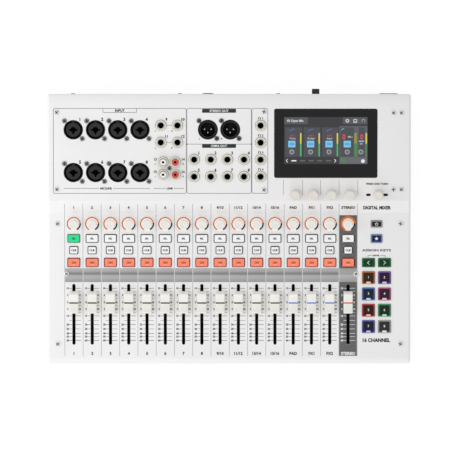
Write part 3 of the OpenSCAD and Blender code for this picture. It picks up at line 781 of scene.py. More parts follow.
user_places = [(x, USER_Y - row * USER_PITCH, *USER) for row in range(4) for x in bank_xs]
user = key_row("user_keys", user_places, M_USER_FACES, M_USER_EDGES, rim_w=WIDE_RIM)
for i, (x, y, w, d) in enumerate(user_places):
    here = fader_deck.at(x, y, KEY_FACE)
    user.text(shifted(here, 0, 0.6), str(i + 1), 2.5, M_GLYPH, 0.01)
    user.slab(here, [(2.3, -4.3), (-2.3, -4.3), (-3.3, -6.9), (3.3, -6.9)], -0.3, 0.08,
              M_USER_EDGES[i])
    user.slab(here, [(2.0, -4.6), (-2.0, -4.6), (-2.8, -6.6), (2.8, -6.6)], -0.3, 0.11,
              M_USER_LAMPS[i])
user.build("key_dark", ["user_keys"])

function = key_row("function_keys", [(RIGHT_X, HOME_Y, *HOME), (RIGHT_X, STAR_Y, *STAR)],
                   [M_HOME, M_STAR], [M_HOME_EDGE, M_STAR_EDGE], rim_w=WIDE_RIM)
here = fader_deck.at(RIGHT_X, HOME_Y, KEY_FACE)
for x0, y0, x1, y1 in ((-1.1, 0, -1.1, -1.6), (-1.1, -1.6, 1.1, -1.6), (1.1, -1.6, 1.1, 0),
                       (-1.9, -0.1, 0, 1.6), (0, 1.6, 1.9, -0.1)):
    function.bar(here, x0, y0, x1, y1, 0.5, M_GLYPH)
here = fader_deck.at(RIGHT_X, STAR_Y, KEY_FACE)
star = [(r * math.cos(a), r * math.sin(a)) for k in range(10)
        for r, a in [((2.4, 1.0)[k % 2], math.radians(90 + 36 * k))]]
for k in range(10):
    function.slab(here, [(0, 0), star[k], star[(k + 1) % 10]], SUNK, INK, M_GLYPH)
function.build("key_dark", ["function_keys"])

# ---- knobs and dials


def ribbed(r, depth, ribs, n):
    """A round loop with shallow grooves down its side."""
    return [((r - depth * (0.5 + 0.5 * math.cos(ribs * a))) * math.cos(a),
             (r - depth * (0.5 + 0.5 * math.cos(ribs * a))) * math.sin(a))
            for a in (2 * math.pi * i / n for i in range(n))]


KNOB_EDGE = 0.9      # radius of a knob's rolled top edge


def knob(name, matrix, diameter, height, side, top, slot, ribs=30, groove=0.14):
    """A turned knob over its shaft, with grooves round its side and a dished top."""
    piece = Piece("knob_of_" + name, name)
    r, n = diameter / 2, 4 * ribs
    piece.lathe(matrix, [(2.9, -7.6), (2.98, -7.4), (2.98, 1.5), (2.0, 1.5)], M_MECHANISM, 32)
    rings = [(circle(r - 0.25, n), 1.0), (circle(r, n), 1.25), (circle(r, n), 2.2),
             (ribbed(r - 0.05, groove, ribs, n), 2.5),
             (ribbed(r - 0.25, groove, ribs, n), height - 0.6), (circle(r - 0.3, n), height - 0.2)]
    for a in (math.pi / 2 * k / 4 for k in range(1, 5)):
        rings.append((circle(r - 0.3 - KNOB_EDGE * (1 - math.cos(a)), n),
                      height - 0.2 + KNOB_EDGE * math.sin(a)))
    rings += [(circle(r - 1.5, n), height + 0.7), (circle(r - 1.7, n), height + 0.5)]
    piece.stack(matrix, rings, side, cap_top=False)
    piece.lathe(matrix, [(r - 1.7, height + 0.3), (r - 1.7, height + 0.5), (r - 2.6, height + 0.42),
                         (0.4, height + 0.36)], top, n)
    piece.build(slot, [name])


for i, (x, y, z) in enumerate(knob_places, 1):
    knob(f"channel_knob_{i}", fader_deck.at(x, y), 11, 13, M_KNOB_GLOW, M_KNOB_TOP_GLOW, "knob_white")
for i, (x, y, z) in enumerate(dial_places, 1):
    knob(f"screen_dial_{i}", rear_deck.at(x, y), 11.8, 11, M_IVORY_GLOW, M_IVORY_GLOW, "knob_ivory",
         ribs=36, groove=0.1)
knob("touch_turn_dial", rear_deck.at(turn_place[0], DIAL_Y), 10.8, 12.5, M_IVORY_GLOW, M_IVORY_GLOW,
     "knob_ivory", ribs=40, groove=0.1)

# ---- rings of light round the knobs

GAP = 27          # half the ring's opening at the bottom, in degrees
RING = (6.7, 7.95)
rings = Piece("light_rings")
turned = random.Random(4)
for i, x in enumerate(STRIP_X):
    here = fader_deck.at(x, RING_Y)
    lit_to = 4 if i == 0 else turned.choice((-4, 2, 5, 8))
    rings.lathe(here, [(3.95, -WALL), (8.05, -WALL), (8.05, -0.05), (6.6, -0.02), (4.1, -0.02),
                       (3.95, -0.15)], M_RING_GLOW if i < STEREO_STRIP else M_RING_WARM,
                closed=True)
    rings.arc(here, *RING, lit_to, 270 - GAP, -0.05, 0.28, M_RING, 56)
    rings.arc(here, RING[0] - 0.25, RING[1] + 0.1, GAP - 90, lit_to, -0.05, 0.28, M_RING_OFF, 24)
# A painted pool of the ring's light on the dark panel round the stereo knob.
here = fader_deck.at(STRIP_X[STEREO_STRIP], RING_Y)
for k, tone in enumerate(M_PAINTED_HALOS):
    rings.arc(here, 8.05 + 0.6 * k, 8.65 + 0.6 * k, 8, 262 - GAP, 0.02, 0.06, tone, 48)
rings.build("light_guide", ["light_guides"])

# ---- faders


def cap_outline(inset):
    """Side view of a fader cap as (y, z): raised ends with a hollow between them."""
    foot, top, dip, lift = CAP[1] / 2, CAP[2] + CAP_LIFT, 3.6, CAP_LIFT
    head = foot - 1.6
    hollow = [(a, top - inset - dip * (1 - (a / 10.2) ** 2)) for a in range(-8, 9)]
    return ([(-foot + inset, lift + inset), (-foot + inset, lift + 3), (-head + inset, top - 0.9),
             (-head + 0.4 + inset, top - 0.35 - inset), (-head + 1.1, top - inset)]
            + hollow + [(head - 1.1, top - inset), (head - 0.4 - inset, top - 0.35 - inset),
                        (head - inset, top - 0.9), (foot - inset, lift + 3),
                        (foot - inset, lift + inset)])


CAP, CAP_LIFT = (10.4, 25.4, 10.5), 1.0      # its size, and its height over the deck
ROUND = 0.7
upright = Matrix.Rotation(math.pi / 2, 4, "Z") @ Matrix.Rotation(math.pi / 2, 4, "X")
for i, x in enumerate(STRIP_X, 1):
    cap = Piece(f"cap_of_fader_{i}", f"fader_{i}")
    here = fader_deck.at(x, FADER_Y)
    layers = [(cap_outline(ROUND * (1 - math.sin(a))), -CAP[0] / 2 + ROUND * (1 - math.cos(a)))
              for a in (math.pi / 2 * k / 4 for k in range(5))]
    layers += [(outline, -at) for outline, at in layers[::-1]]
    cap.stack(here @ upright, layers, M_CAP_GLOW)
    line = M_CAP_RED if i == 16 else M_CAP_BLUE if i >= 13 else M_CAP_LINE
    cap.block(here, CAP[0] - 0.04, 1.5, CAP[2] + CAP_LIFT - 4.2, CAP[2] + CAP_LIFT - 3.4, 0.2,
              0.1, line)
    for s in (-1, 1):
        for k in range(3):
            y = 2.6 + 1.5 * k
            cap.block(shifted(here, 0, s * y), CAP[0] - 2.2, 0.35, CAP_LIFT + 5,
                      CAP[2] + CAP_LIFT - 3.52 + y ** 2 * 0.0346, 0.12, 0.08, M_CAP_GLOW)
    cap.block(here, 1.2, 8, -11, 4, 0.3, 0.2, M_MECHANISM)
    cap.build("fader_cap", [f"fader_{i}"])

lips = Piece("slot_dust_lips")
for x in STRIP_X:
    for s in (-1, 1):
        lips.block(fader_deck.at(x + s * 2.0, SLOT_Y), 2.3, SLOT_L + 3, -WALL - 0.4,
                   -WALL - 0.05, 0.4, 0.1, M_SLOT)
    outer = rounded(SLOT_W + 0.02, SLOT_L, 1.5)
    inner = rounded(SLOT_W - 0.3, SLOT_L - 0.3, 1.4)
    edge = rounded(SLOT_W + 0.5, SLOT_L + 0.5, 1.7)
    lips.stack(fader_deck.at(x, SLOT_Y), [(outer, -WALL), (outer, 0.0), (edge, 0.0),
                                               (edge, 0.04), (inner, 0.04), (inner, -WALL)],
               M_SLOT, closed=True)
lips.build("mechanism_steel")

# ---- sockets


def notched(r, half, reach, where):
    """A round loop with narrow pointed slots running out of it at some angles, in degrees."""
    loop = []
    for k in range(POINTS):
        a = 2 * math.pi * k / POINTS
        out = r
        for w in where:
            off = abs((math.degrees(a) - w + 180) % 360 - 180)
            across = math.radians(min(off, 89)) * r
            if across < half:
                out = max(out, r + (reach - r) * (1 - across / half) ** 0.8)
        loop.append((out * math.cos(a), out * math.sin(a)))
    return loop


UNDER = -WALL - 0.02       # just below the deck's sheet
TRIANGLE = (-90, 0, 180)   # where a socket's three contacts lie, in degrees
PIN_CIRCLE = 3.85          # radius that an output's pins lie on
SOCKET_FOOT = -25          # the underside of the larger sockets


def flanged_body(piece, here, w, d, hole, floor_z):
    """A square flange under the deck, and a body below it that is hollow down to floor_z."""
    piece.plate(here, 25, 30, 2, hole, -WALL - 2.4, UNDER, M_SOCKET)
    piece.plate(here, w, d, 1.5, hole, floor_z, -WALL - 2.3, M_SOCKET)
    piece.block(here, w, d, SOCKET_FOOT, floor_z, 1.5, 0.5, M_SOCKET)


combos = Piece("combo_sockets")
for x, y in COMBOS:
    here = rear_deck.at(x, y)
    flanged_body(combos, here, 23, 25, 11, -9.2)
    combos.lathe(here, [(9.75, -9), (11, -9), (11, -0.1), (11, 0.1), (10.7, 0.3), (10.2, 0.3),
                        (9.75, -0.2)], M_SOCKET, POINTS, closed=True)
    # Near-black ring here, and a near-black floor and mouth lining below: painted shade deep in the
    # socket.
    combos.lathe(here, [(8.3, -5), (9.75, -5), (9.75, -4.6), (8.3, -4.6)], M_HOLLOW_SHADE, POINTS,
                 closed=True)
    mouth = notched(3.2, 1.3, 5.6, TRIANGLE)
    face = [(mouth, -9), (mouth, -0.5), (notched(3.3, 1.35, 5.75, TRIANGLE), -0.3),
            (circle(6.6, POINTS), -0.25), (circle(7.9, POINTS), -0.3), (circle(8.3, POINTS), -0.7),
            (circle(8.3, POINTS), -9)]
    combos.stack(here, face, M_SOCKET_FACE, closed=True)
    combos.lathe(here, [(6.3, -9.15), (6.3, -9)], M_HOLLOW_SHADE, 32)
    combos.stack(here, [(notched(3.0, 1.2, 5.3, TRIANGLE), -8.95), (mouth, -8.9),
                        (notched(3.18, 1.28, 5.55, TRIANGLE), -0.6)], M_HOLLOW_SHADE, cap_top=False)
    for x_at, y_at in ((-4.1, 1.4), (4.1, 1.4), (-4.3, -3.9), (4.3, -3.9)):
        combos.lathe(shifted(here, x_at, y_at),
                     [(0.8, -0.5), (0.8, -0.22), (0.6, -0.1)], M_SOCKET_FACE, 16)
    combos.block(shifted(here, 0, 8.95), 3.2, 1.1, -5, -0.1, 0.3, 0.15, M_SOCKET_FACE)
combos.build("socket_black", ["combo_jacks"])

outputs = Piece("output_sockets")
for x, y in OUTPUTS:
    here = rear_deck.at(x, y)
    flanged_body(outputs, here, 22, 24, 8.4, -13)
    outputs.lathe(here, [(9.3, -13), (11.3, -13), (11.3, 0.0), (11.0, 0.3), (10.2, 0.3),
                         (9.9, 0.1), (9.3, 0.05)], M_SOCKET, POINTS, closed=True)
    outputs.ring(here, 8.4, 9.28, -13, -0.05, M_SOCKET_FACE, 0.2, POINTS)
    # Near-black lining of the recess: painted shade.
    outputs.ring(here, 7.6, 8.38, -12.9, -1.2, M_HOLLOW_SHADE, 0.2, POINTS)
    for a in TRIANGLE:
        t = math.radians(a)
        outputs.lathe(shifted(here, PIN_CIRCLE * math.cos(t), PIN_CIRCLE * math.sin(t)),
                      [(1.0, -13), (1.0, -3.7), (0.8, -3.3), (0.3, -3.0)], M_SOCKET_PIN, 24)
    outputs.block(shifted(here, 0, 8.0), 3.6, 1.0, -12, -0.5, 0.3, 0.2, M_SOCKET)
outputs.build("socket_black", ["xlr_outputs"])

jacks = Piece("phone_sockets")
for x, y in LINES + OMNIS + PHONES:
    here = rear_deck.at(x, y)
    jacks.plate(here, 14, 15.5, 1.0, 3.3, -20, UNDER, M_SOCKET)
    jacks.block(here, 14, 15.5, SOCKET_FOOT, -20, 1.0, 0.4, M_SOCKET)
    jacks.lathe(here, [(3.25, -20), (4.35, -20), (4.35, 1.5), (4.1, 1.85), (3.6, 1.85),
                       (3.3, 1.5)], M_NICKEL, 40, closed=True)
    # Near-black floor and lining of the bore: painted shade.
    jacks.lathe(here, [(3.3, -20.2), (3.3, -19.9)], M_HOLLOW_SHADE, 32)
    jacks.lathe(here, [(3.28, -19.9), (3.29, 0.9), (3.2, 0.9), (3.2, -19.9)], M_HOLLOW_SHADE, 32,
                closed=True)
    # Dark rims round the washer: painted shadow.
    jacks.ring(here, 4.45, 6.3, 0.02, 0.7, M_WASHER_SHADOW_RIM)
    jacks.ring(here, 4.7, 5.8, 0.6, 1.72, M_WASHER_GLOW, 0.25)
jacks.build("socket_nickel", ["phone_jacks"])

phonos = Piece("phono_sockets")
for i, (x, y) in enumerate(PHONOS):
    here = rear_deck.at(x, y)
    tone = M_PHONO_RED_GLOW if i % 2 else M_PHONO_WHITE_GLOW
    phonos.block(here, 10.6, 10.6, -15, UNDER, 0.8, 0.4, M_SOCKET)
    phonos.ring(here, 4.2, 6.0, 0.02, 1.0, M_WASHER_SHADOW_RIM, 0.2)
    phonos.ring(here, 4.3, 5.6, 0.9, 1.4, M_WASHER_GLOW, 0.15)
    phonos.ring(here, 3.75, 4.15, 0.9, 6.45, M_GOLD, 0.1)
    phonos.ring(here, 1.65, 3.55, -2, 5.95, tone, 0.2, 40)
    phonos.lathe(here, [(3.9, 0.7), (3.9, 0.95), (2.7, 0.95)], tone, 40)
    # Near-black centre hole: painted shade.
    phonos.lathe(here, [(1.75, 0.9), (1.7, 1.1)], M_HOLLOW_SHADE, 24)
phonos.build("phono_shell", ["rca_jacks"])

# ---- screws

CROSS, ARM = 2.1, 0.44      # reach and half width of the recess
HEAD_H = 1.3
angles = sorted({math.radians(7.5 * k) for k in range(48)} | {
    q * math.pi / 2 + t for q in range(4)
    for t in (math.atan2(ARM, CROSS), math.atan2(CROSS, ARM))})


def cross(size):
    """A cross as a loop with the same angles as a round one."""
    loop = []
    for a in angles:
        c, s = max(abs(math.cos(a)), 1e-6), max(abs(math.sin(a)), 1e-6)
        r = size * max(min(CROSS / c, ARM / s), min(CROSS / s, ARM / c))
        loop.append((r * math.cos(a), r * math.sin(a)))
    return loop


screws = Piece("deck_screws")


def screw_head(matrix, r, head, shank, recess=M_RECESS_SHADE):
    """A domed head with a real cross recess, over its shank."""
    def disc(radius):
        return [(radius * math.cos(a), radius * math.sin(a)) for a in angles]
    rings = [(disc(1.4), -shank), (disc(1.4), 0.0), (disc(r - 0.1), 0.0), (disc(r), 0.15),
             (disc(r), HEAD_H * 0.4), (disc(r * 0.96), HEAD_H * 0.68),
             (disc(r * 0.88), HEAD_H * 0.86), (disc(r * 0.76), HEAD_H * 0.96),
             (cross(1.0), HEAD_H)]
    screws.stack(matrix, rings, head, cap_top=False)
    # The cross recess is lined with a dark material: painted shade in it.
    screws.stack(matrix, [(cross(1.0), HEAD_H), (cross(0.82), HEAD_H * 0.3)], recess,
                 cap_bottom=False)


REAR_FACE_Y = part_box("rear_panel")[1].y


def on_rear(x, z):
    """The local frame of a place on the rear panel, given in metres, with Z to the rear."""
    place = Matrix.Translation((x, REAR_FACE_Y, z)) @ Matrix.Rotation(math.pi, 4, "Z")
    return place @ Matrix.Rotation(math.pi / 2, 4, "X")


rng = random.Random(11)
flange_screws = [(x + s * FLANGE_SCREW, y - s * FLANGE_SCREW) for x, y in COMBOS + OUTPUTS
                 for s in (-1, 1)]
tones = ([M_SCREW_GLOW] * len(EDGE_SCREWS) + [M_SCREW_GREY] * 2 * len(COMBOS)
         + [M_SCREW_BLACK] * 2 * len(OUTPUTS))
for plane, places, radius, heads, shank in (
        (rear_deck, EDGE_SCREWS + flange_screws, 2.8, tones, 8),
        (fader_deck, DECK_SCREWS, 3.0, [M_SCREW_GLOW] * 4, 8),
        (fader_deck, BAND_SCREWS, 2.85, [M_SCREW_WHITE] * 2, 2.6)):
    for (x, y), head in zip(places, heads, strict=True):
        screw_head(plane.at(x, y, turn=rng.uniform(0, 1.5)), radius, head, shank)
screw_head(rear_deck.at(-68.1, 69.4, turn=0.4), 2.5, M_SCREW_GREY, 8)
for x in REAR_SCREW_X:
    for z in REAR_SCREW_Z:
        screw_head(on_rear(x * MM, z * MM), 2.5, M_SCREW_BLACK, 6, M_HOLLOW_SHADE)
FOOT_X, FOOT_Y, FOOT_SCREW_Z = 170, 122, 2.5
for sx in (-1, 1):
    for sy in (-1, 1):
        place = Matrix.Translation((sx * FOOT_X * MM, (sy * FOOT_Y + CASE_Y) * MM,
                                    FOOT_SCREW_Z * MM))
        screw_head(place @ Matrix.Rotation(math.pi, 4, "X"), 2.9, M_SCREW_GLOW, 5)
screws.build("screw_steel", ["screws"])

# ---- screen

glass = Piece("screen_glass_panel")
screen_middle, GLASS_TOP = rear_deck.at(*SCREEN_AT), 0.5
glass.block(screen_middle, *SCREEN, -1.6, GLASS_TOP, 2.0, 0.35, M_GLASS)
glass.build("black_glass", ["screen_glass"])

LIT_W, LIT_H, LIT_SHIFT = 95.1, 54.0, 3.2      # the display's lit area, and how far it is set back


def on_screen(u, v):
    """A place on the lit area: u to the right and v down from its top left corner."""
    return screen_middle @ Matrix.Translation(
        ((u - LIT_W / 2) * MM, (LIT_H / 2 - v + LIT_SHIFT) * MM, GLASS_TOP * MM))


picture = Piece("screen_picture")


LAYER = 0.012      # how much higher each layer of the picture lies


def tile(u0, v0, u1, v1, tone, layer=1, r=0.4):
    picture.slab(on_screen((u0 + u1) / 2, (v0 + v1) / 2),
                 rounded(u1 - u0, v1 - v0, r, 3), 0.0, LAYER * layer, UI[tone])


def caption(u, v, words, height, tone="text", layer=3):
    picture.text(on_screen(u, v), words, height, UI[tone], low=0, high=LAYER * layer)


def rod(u, v, x0, y0, x1, y1, width, tone):
    picture.bar(on_screen(u, v), x0, y0, x1, y1, width, UI[tone], 0, 0.05)


tile(0, 0, LIT_W, LIT_H, "back")
tile(0.3, 0.3, 27, 8.1, "title", 2)
caption(12.6, 4.2, "02 Open Mic", 2.4)
tile(67, 0.3, LIT_W - 0.3, 8.1, "title", 2)
tile(70.0, 2.2, 74.2, 6.4, "text", 3, 2.0)
tile(71.1, 3.3, 73.1, 5.3, "title", 4, 0.9)
tile(79.0, 2.3, 83.2, 6.5, "text", 3, 0.6)
tile(79.8, 3.1, 82.4, 5.2, "title", 4, 0.3)
picture.arc(on_screen(90.4, 4.3), 1.3, 2.0, -40, 220, 0, 0.05, UI["grey"], 24)
tile(63, 10.4, LIT_W - 0.2, LIT_H - 0.2, "group", 2)
tile(63.6, 46.2, LIT_W - 0.4, 53.6, "dim", 3)
tile(65.0, 47.5, 69.4, 51.6, "deep_green", 4)
# left edge, right edge, middle of its knob, and the middle of its meter
PANELS = [(1.2, 20.8, 8.8, 19.0), (22.2, 41.4, 30.2, 40.0), (43.2, 62.0, 51.2, 60.8),
          (64.0, 79.6, 72.0, 81.5), (85.0, 92.0, 87.6, 93.7)]
for n, (left, right, mid, meter) in enumerate(PANELS):
    busy = n < 3
    tile(left, 11.8, right, 45.6, "panel", 3)
    if n < 4:
        tile(mid - 4.1, 27.2, mid + 4.1, 34.8, "on", 4, 0.6)
        caption(mid, 31.0, "ON", 2.2, "blue", 5)
    else:
        tile(85.2, 27.0, 91.2, 28.4, "on", 4)
        caption(88.0, 30.6, "EQ", 1.6)
    if busy:
        caption(mid + 0.6, 21.2, f"CH {n + 1}", 1.7, "red")
        caption(mid + 0.6, 24.4, ("Vocal", "Guitar", "Keys")[n], 2.2)
        rod(mid, 14.9, -3.0, -1.5, -0.4, 0.2, 0.6, "blue")
        rod(mid, 14.9, -0.4, 0.2, 3.0, 1.4, 0.6, "blue")
    else:
        at = (68.2, 88.4)[n - 3]
        tile(at - 1.5, 20.0, at + 1.5, 25.4, "red", 4, 1.0)
        tile(at - 0.7, 21.4, at + 0.7, 24.0, "panel", 5, 0.5)
    if n == 3:
        caption(75.3, 22.8, "FX 1", 1.8)
        rod(66.6, 14.3, -1.6, -1.0, 0, 0.8, 0.6, "on")
        rod(66.6, 14.3, 0, 0.8, 2.0, 1.0, 0.6, "on")
    tile(mid - 2.8, 37.2, mid + 2.8, 42.8, "grey", 4, 2.7)
    tile(mid - 1.9, 38.1, mid + 1.9, 41.9, "dim", 5, 1.8)
    rod(mid, 40.0, 0, 0, -1.5, 1.6, 0.7, "white")
    wide = 1.5 if n == 3 else 0.8
    tile(meter - wide, 18.4, meter + wide, 30.4, "yellow" if busy or n == 4 else "olive", 4,
         0.2)
    tile(meter - wide, 30.4, meter + wide, 45.1, "green" if busy else "deep_green", 4, 0.2)
for k in range(5):
    u = 11.2 + 9.85 * k
    tile(u - 2.9, 49.5, u + 2.9, 50.8, "white" if k == 0 else "dim", 3, 0.3)
for u, way in ((3.3, -1), (58.2, 1)):
    for s in (-1, 1):
        rod(u, 50.1, way * 0.9, 0, -way * 0.8, s * 1.9, 0.6, "white")
tile(87.8, 48.4, 92.0, 52.6, "white", 4, 2.05)
rod(89.9, 50.5, 0, 0, 0, 1.4, 0.45, "dim")
rod(89.9, 50.5, 0, 0, 1.0, -0.6, 0.45, "dim")
picture.build("black_glass")

# ---- the grey band over the faders

STRIP_LEFT, STRIP_RIGHT = STRIP_X[0] - PITCH / 2, STRIP_X[-1] + PITCH / 2
band = Piece("label_band")
for i, x in enumerate(STRIP_X):
    here = fader_deck.at(x, (BAND_TOP + BAND_BOTTOM) / 2)
    band.block(here, PITCH - 0.9, BAND_TOP - BAND_BOTTOM, -0.02, 0.14, 0.25, 0.06,
               M_BAND_SHEEN if i < STEREO_STRIP else M_BAND_SHEEN_PALE, n=3)
band.slab(fader_deck.at((STRIP_LEFT + STRIP_RIGHT) / 2, (BAND_TOP + BAND_BOTTOM) / 2),
          rounded(STRIP_RIGHT - STRIP_LEFT, BAND_TOP - BAND_BOTTOM - 0.1, 0.2, 3), -0.02, 0.07,
          M_BAND_SEAM)
band.build("white_paint")

# ---- printing

print_low = Piece("fader_deck_printing")
print_high = Piece("rear_deck_printing")
LINE, COS = 0.5, math.cos(TILT)


def low_bar(x0, y0, x1, y1, material=M_LINE, width=LINE, lift=0.0):
    print_low.bar(fader_deck.at(0, 0, lift), x0, y0 / COS, x1, y1 / COS, width, material)


def low_text(x, y, words, height, material=M_INK_DARK, lift=0.0, **style):
    print_low.text(fader_deck.at(x, y, lift), words, height, material, **style)


def high_bar(x0, y0, x1, y1, material=M_LINE, width=LINE):
    print_high.bar(rear_deck.at(0, 0), x0, y0 / COS, x1, y1 / COS, width, material)


def high_text(x, y, words, height, material=M_INK, **style):
    print_high.text(rear_deck.at(x, y), words, height, material, **style)


def high_spot(place, outline):
    print_high.slab(place, outline, SUNK, INK, M_INK_DARK)


LINES_TOP, LINES_BOTTOM = 28.8, -145.3
# the ramp starts below the top of the strips' lines
top_line = RAMP_FOOT_Y - 0.3
for i in range(17):
    x = STRIP_LEFT + PITCH * i
    low_bar(x, top_line, x, LINES_BOTTOM)
    print_low.bar(ramp.at(0, 0), x, (RAMP_FOOT_Y + 0.1) / math.cos(ramp.angle), x,
                  LINES_TOP / math.cos(ramp.angle), LINE, M_LINE)

# the stereo strip's dark panel, laid in bands that leave its keys, its knob and its slot free
DARK_W, DARK_TOP, DARK_BOTTOM = 20.1, 15.8, -145.1
RING_PLATE = 18.0
stereo_x = STRIP_X[STEREO_STRIP]
print_low.plate(fader_deck.at(stereo_x, RING_Y), DARK_W, RING_PLATE / COS, 0.2, 8.2, SUNK, 0.02,
                M_STEREO)
holes = [(y + d / 2 + KEY_GAP, y - d / 2 - KEY_GAP, w / 2 + KEY_GAP) for y, w, d in (SEL, CUE, ON)]
holes.append((SLOT_TOP, SLOT_BOTTOM, SLOT_W / 2))
bands = [(DARK_TOP, RING_Y + RING_PLATE / 2, 0)]
edge_y = RING_Y - RING_PLATE / 2
for high, low, half in holes:
    bands += [(edge_y, high, 0), (high, low, half)]
    edge_y = low
for high, low, half in bands + [(edge_y, DARK_BOTTOM, 0)]:
    for s in (-1, 1):
        w = DARK_W / 2 - half
        print_low.slab(fader_deck.at(stereo_x + s * (half + w / 2), (high + low) / 2),
                       rounded(w + 0.02, (high - low) / COS + 0.02, 0.05, 1), SUNK, 0.02, M_STEREO)

# fader scales: (place, words, darkness of its line)
SCALE = [(-67.8, "10", 1), (-75.6, "5", None), (-83.8, "0", None), (-91.6, "5", None),
         (-99.4, "10", 1), (-104.6, "", 0), (-109.3, "20", 2), (-114.3, "30", 0),
         (-119.4, "40", 2), (-123.1, "50", 0), (-127.5, "60", 2)]
FINE = [(-71.2, ""), (-75.6, "12"), (-79.4, ""), (-83.8, "18"), (-87.4, ""), (-91.6, "24"),
        (-95.6, "")]
for i, x in enumerate(STRIP_X):
    dark = i == STEREO_STRIP
    tones = [M_INK_WHITE] * 3 if dark else [M_INK_PALE, M_INK_MID, M_INK]
    words_tone = M_INK_WHITE if dark else M_INK_DARK
    lift = 0.02 if dark else 0.0
    for y, words, tone in SCALE:
        if tone is not None:
            low_bar(x - 5.4, y, x - 1.9, y, tones[tone], LINE, lift)
            low_bar(x + 1.9, y, x + 7.9, y, tones[tone], LINE, lift)
        if words:
            low_text(x - 7.0, y, words, 2.1, words_tone, lift, stretch=0.9)
    for y, words in FINE:
        if words:
            low_text(x + 6.8, y, words, 2.0, words_tone, lift, stretch=0.9)
        else:
            low_bar(x + 5.4, y, x + 8.0, y, tones[1], 0.4, lift)
    low_text(x, -142.4, LABELS[i], 3.1, words_tone, lift, wide=16.0 if dark else None)
    print_low.text(ramp.at(x, 24.5), LABELS[i], 3.5, M_INK_DARK, stretch=0.85,
                   wide=15.8 if dark else None)

low_text(RIGHT_X, -24.3, "ASSIGN KEYS", 2.4, bold=0.03, wide=33)
low_text(RIGHT_X, -30.2, "BANK", 1.7, wide=7.4)
for s in (-1, 1):
    low_bar(RIGHT_X + s * 4.4, -30.2, RIGHT_X + s * 9.7, -30.2, M_INK, 0.45)
    low_bar(RIGHT_X + s * 9.7, -30.0, RIGHT_X + s * 9.7, -32.6, M_INK, 0.45)
low_text(RIGHT_X, -127.2, "16 CHANNEL", 3.9, bold=0.05, wide=31.4)
print_low.text(ramp.at(169.1, 24.3), "DIGITAL MIXER", 4.6, M_INK_DARK, 0.05, wide=31.5)
print_low.build("white_paint")


def frame_line(x0, y0, x1, y1, r=2.0):
    """A printed frame with rounded corners."""
    w, h = x1 - x0, (y1 - y0) / COS
    outer, inner = rounded(w, h, r), rounded(w - 2 * LINE, h - 2 * LINE, r - LINE)
    print_high.stack(rear_deck.at((x0 + x1) / 2, (y0 + y1) / 2),
                     [(outer, SUNK), (outer, INK), (inner, INK), (inner, SUNK)], M_INK_FRAME,
                     closed=True)


def tag(x0, y0, x1, y1, words):
    place = rear_deck.at((x0 + x1) / 2, (y0 + y1) / 2)
    print_high.slab(place, rounded(x1 - x0, (y1 - y0) / COS, 0.9, 4), SUNK, 0.04, M_TAG)
    print_high.text(place, words, 2.5, M_INK_WHITE, 0.03, high=0.06)


frame_line(-200.5, 40.4, -48.6, 137.7)
frame_line(-48.3, 40.4, 25.7, 137.7)
frame_line(25.9, 40.4, 44.5, 137.7)
high_bar(-48.3, 96.8, 25.7, 96.8, M_INK_FRAME)
for x in (-48.0, 25.4):
    print_high.slab(rear_deck.at(x, 96.8), circle(0.7, 16), SUNK, 0.05, M_INK_DARK)
frame_line(-144, 132.7, -105.1, 137.7, 0.8)
high_text(-124.5, 135.0, "INPUT", 2.6, M_INK_DARK)
tag(-30.7, 132.5, 8.0, 137.0, "STEREO OUT")
tag(-30.7, 92.5, 8.0, 97.0, "OMNI OUT")
for low, high, middle, gap, words in ((-188.6, -90.4, -140.3, 8.2, "MIC/LINE"),
                                      (-85.9, -51.4, -67.6, 4.3, "LINE")):
    high_bar(low, 46.3, middle - gap, 46.3, M_INK_MID)
    high_bar(middle + gap, 46.3, high, 46.3, M_INK_MID)
    high_text(middle, 46.3, words, 2.2, M_INK_DARK)
def number(places, first, dx, dy, height, side_dx=None, side_dy=0.0, side_height=1.7):
    """Numbers beside a group of sockets, with L and R in turn where side_dx is given."""
    for i, (x, y) in enumerate(places):
        if first is not None:
            high_text(x + dx, y + dy, str(first + i), height, M_INK_DARK)
        if side_dx is not None:
            high_text(x + side_dx, y + side_dy, "LR"[i % 2], side_height)


number(COMBOS, 1, 7.6, 11.9, 3.3)
number(OUTPUTS, None, 0, 0, 0, -9.5, -10.3, 1.8)
number(LINES, 9, 6.4, 6.8, 2.9, -6.1, -6.3, 1.7)
number(OMNIS, 1, 5.4, 7.4, 3.1)
for i, (x, y) in enumerate(PHONOS):
    beside = x + (9.2 if i % 2 else -8.8)
    high_text(beside, y + 2.9, str(13 + i), 2.6, M_INK_DARK)
    high_text(beside, y - 2.5, "LR"[i % 2], 1.6)
for x, y in LINES[::2]:
    high_bar(x + 6.4, y, x + 12.6, y, M_INK_MID, 0.4)
for i, (x, y) in enumerate(PHONES, 1):
    icon = rear_deck.at(x - 1.3, y + 8.3)
    print_high.arc(icon, 0.95, 1.55, 0, 180, SUNK, INK, M_INK_DARK, 16)
    for s in (-1, 1):
        high_spot(shifted(icon, s * 1.15, -0.55), rounded(0.95, 1.6, 0.3, 3))
    high_text(x + 2.4, y + 8.2, str(i), 2.3)

for x in (62.1, 83.9, 104.6, 125.6, 146.9):
    high_bar(x, 57.9 - 1.5, x, 38.9)
high_text(169.0, 51.5, "PRESS AND TURN", 1.9, M_INK_DARK, wide=25)
for x in (159.1, 178.8):
    high_spot(rear_deck.at(x, DIAL_Y - 0.3), rounded(5.2, 2.9, 1.2, 4))
print_high.build("white_paint")

# ---- rear edge

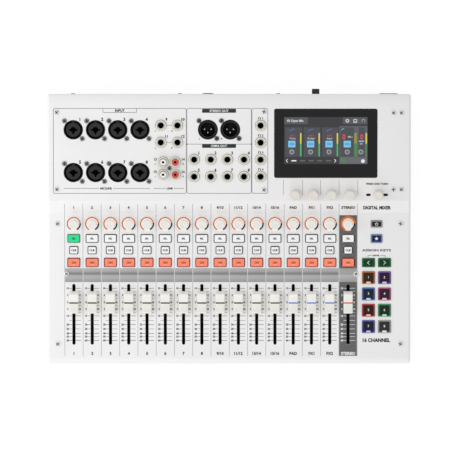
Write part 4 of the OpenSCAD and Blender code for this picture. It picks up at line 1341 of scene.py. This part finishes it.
button = Piece("power_button_cap", "power_button")
low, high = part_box("power_button")
place = on_rear((low.x + high.x) / 2, (low.z + high.z) / 2)
reach = (high.y - REAR_FACE_Y) / MM
button.block(place, 8.6, 8.6, -2, reach, 1.0, 0.7, M_BUTTON, dish=0.25)
button.block(place, 4, 4, -9.5, -1.9, 0.8, 0.2, M_BUTTON)
button.arc(place, 1.5, 1.85, -60, 240, reach - 0.3, reach - 0.05, M_GLYPH, 24)
button.bar(place, 0, 0.6, 0, 2.1, 0.35, M_GLYPH, reach - 0.3, reach - 0.05)
button.build("button_black", ["power_button"])

print_rear = Piece("rear_printing")
face = on_rear(0, 0)
for x, z, words in ((182.4, 56.5, "AC IN"), (99, 69.0, "POWER"), (140, 38.2, "NETWORK"),
                    (112, 36.8, "USB"), (84, 36.8, "VIDEO"), (60, 36.8, "DC IN"),
                    (42, 36.8, "USB-C"), (10, 36.8, "CARD"), (-24, 41.8, "FOOT SW")):
    print_rear.text(shifted(face, -x, z), words, 2.4, M_INK_WHITE)
for x0, x1 in ((-190, -60), (28, 76)):
    print_rear.bar(face, -x0, 22, -x1, 22, 0.4, M_INK_PALE)
print_rear.build("rear_plate")

# ---- CAD pieces shown as they are


def dress(node, material, width, segments):
    """Keeps a CAD node's own shape, with its edges rounded and a material of its own."""
    thing = frame["nodes"][node]
    mesh = thing.data
    mesh.materials.clear()
    mesh.materials.append(material)
    if "custom_normal" in mesh.attributes:
        mesh.attributes.remove(mesh.attributes["custom_normal"])
    weld = thing.modifiers.new("weld", "WELD")
    weld.merge_threshold = 1e-6
    flat = thing.modifiers.new("flat", "DECIMATE")
    flat.decimate_type = "DISSOLVE"
    flat.angle_limit = math.radians(1)
    edge = thing.modifiers.new("edge", "BEVEL")
    edge.width = width * MM
    edge.segments = segments
    edge.limit_method = "ANGLE"
    edge.angle_limit = math.radians(35)
    edge.harden_normals = True
    mesh.polygons.foreach_set("use_smooth", [True] * len(mesh.polygons))


for node, material, width, segments in (
        ("bottom_case", M_STEEL, 0.6, 3), ("rear_panel", M_REAR, 0.25, 2),
        ("feet", M_RUBBER, 0.5, 3), ("display_module", M_DISPLAY_FRAME, 0.2, 2),
        ("fader_units", M_FADER_UNIT_SHADE, 0.2, 1), ("encoder_units", M_MECHANISM, 0.2, 1),
        ("circuit_boards", M_BOARD, 0.15, 1), ("rear_connectors", M_SOCKET, 0.2, 2)):
    dress(node, material, width, segments)

# ---- floor

floor = mesh_object("floor", [(-6, -6, 0), (6, -6, 0), (6, 6, 0), (-6, 6, 0)], [(0, 1, 2, 3)])
floor.data.materials.append(M_FLOOR)
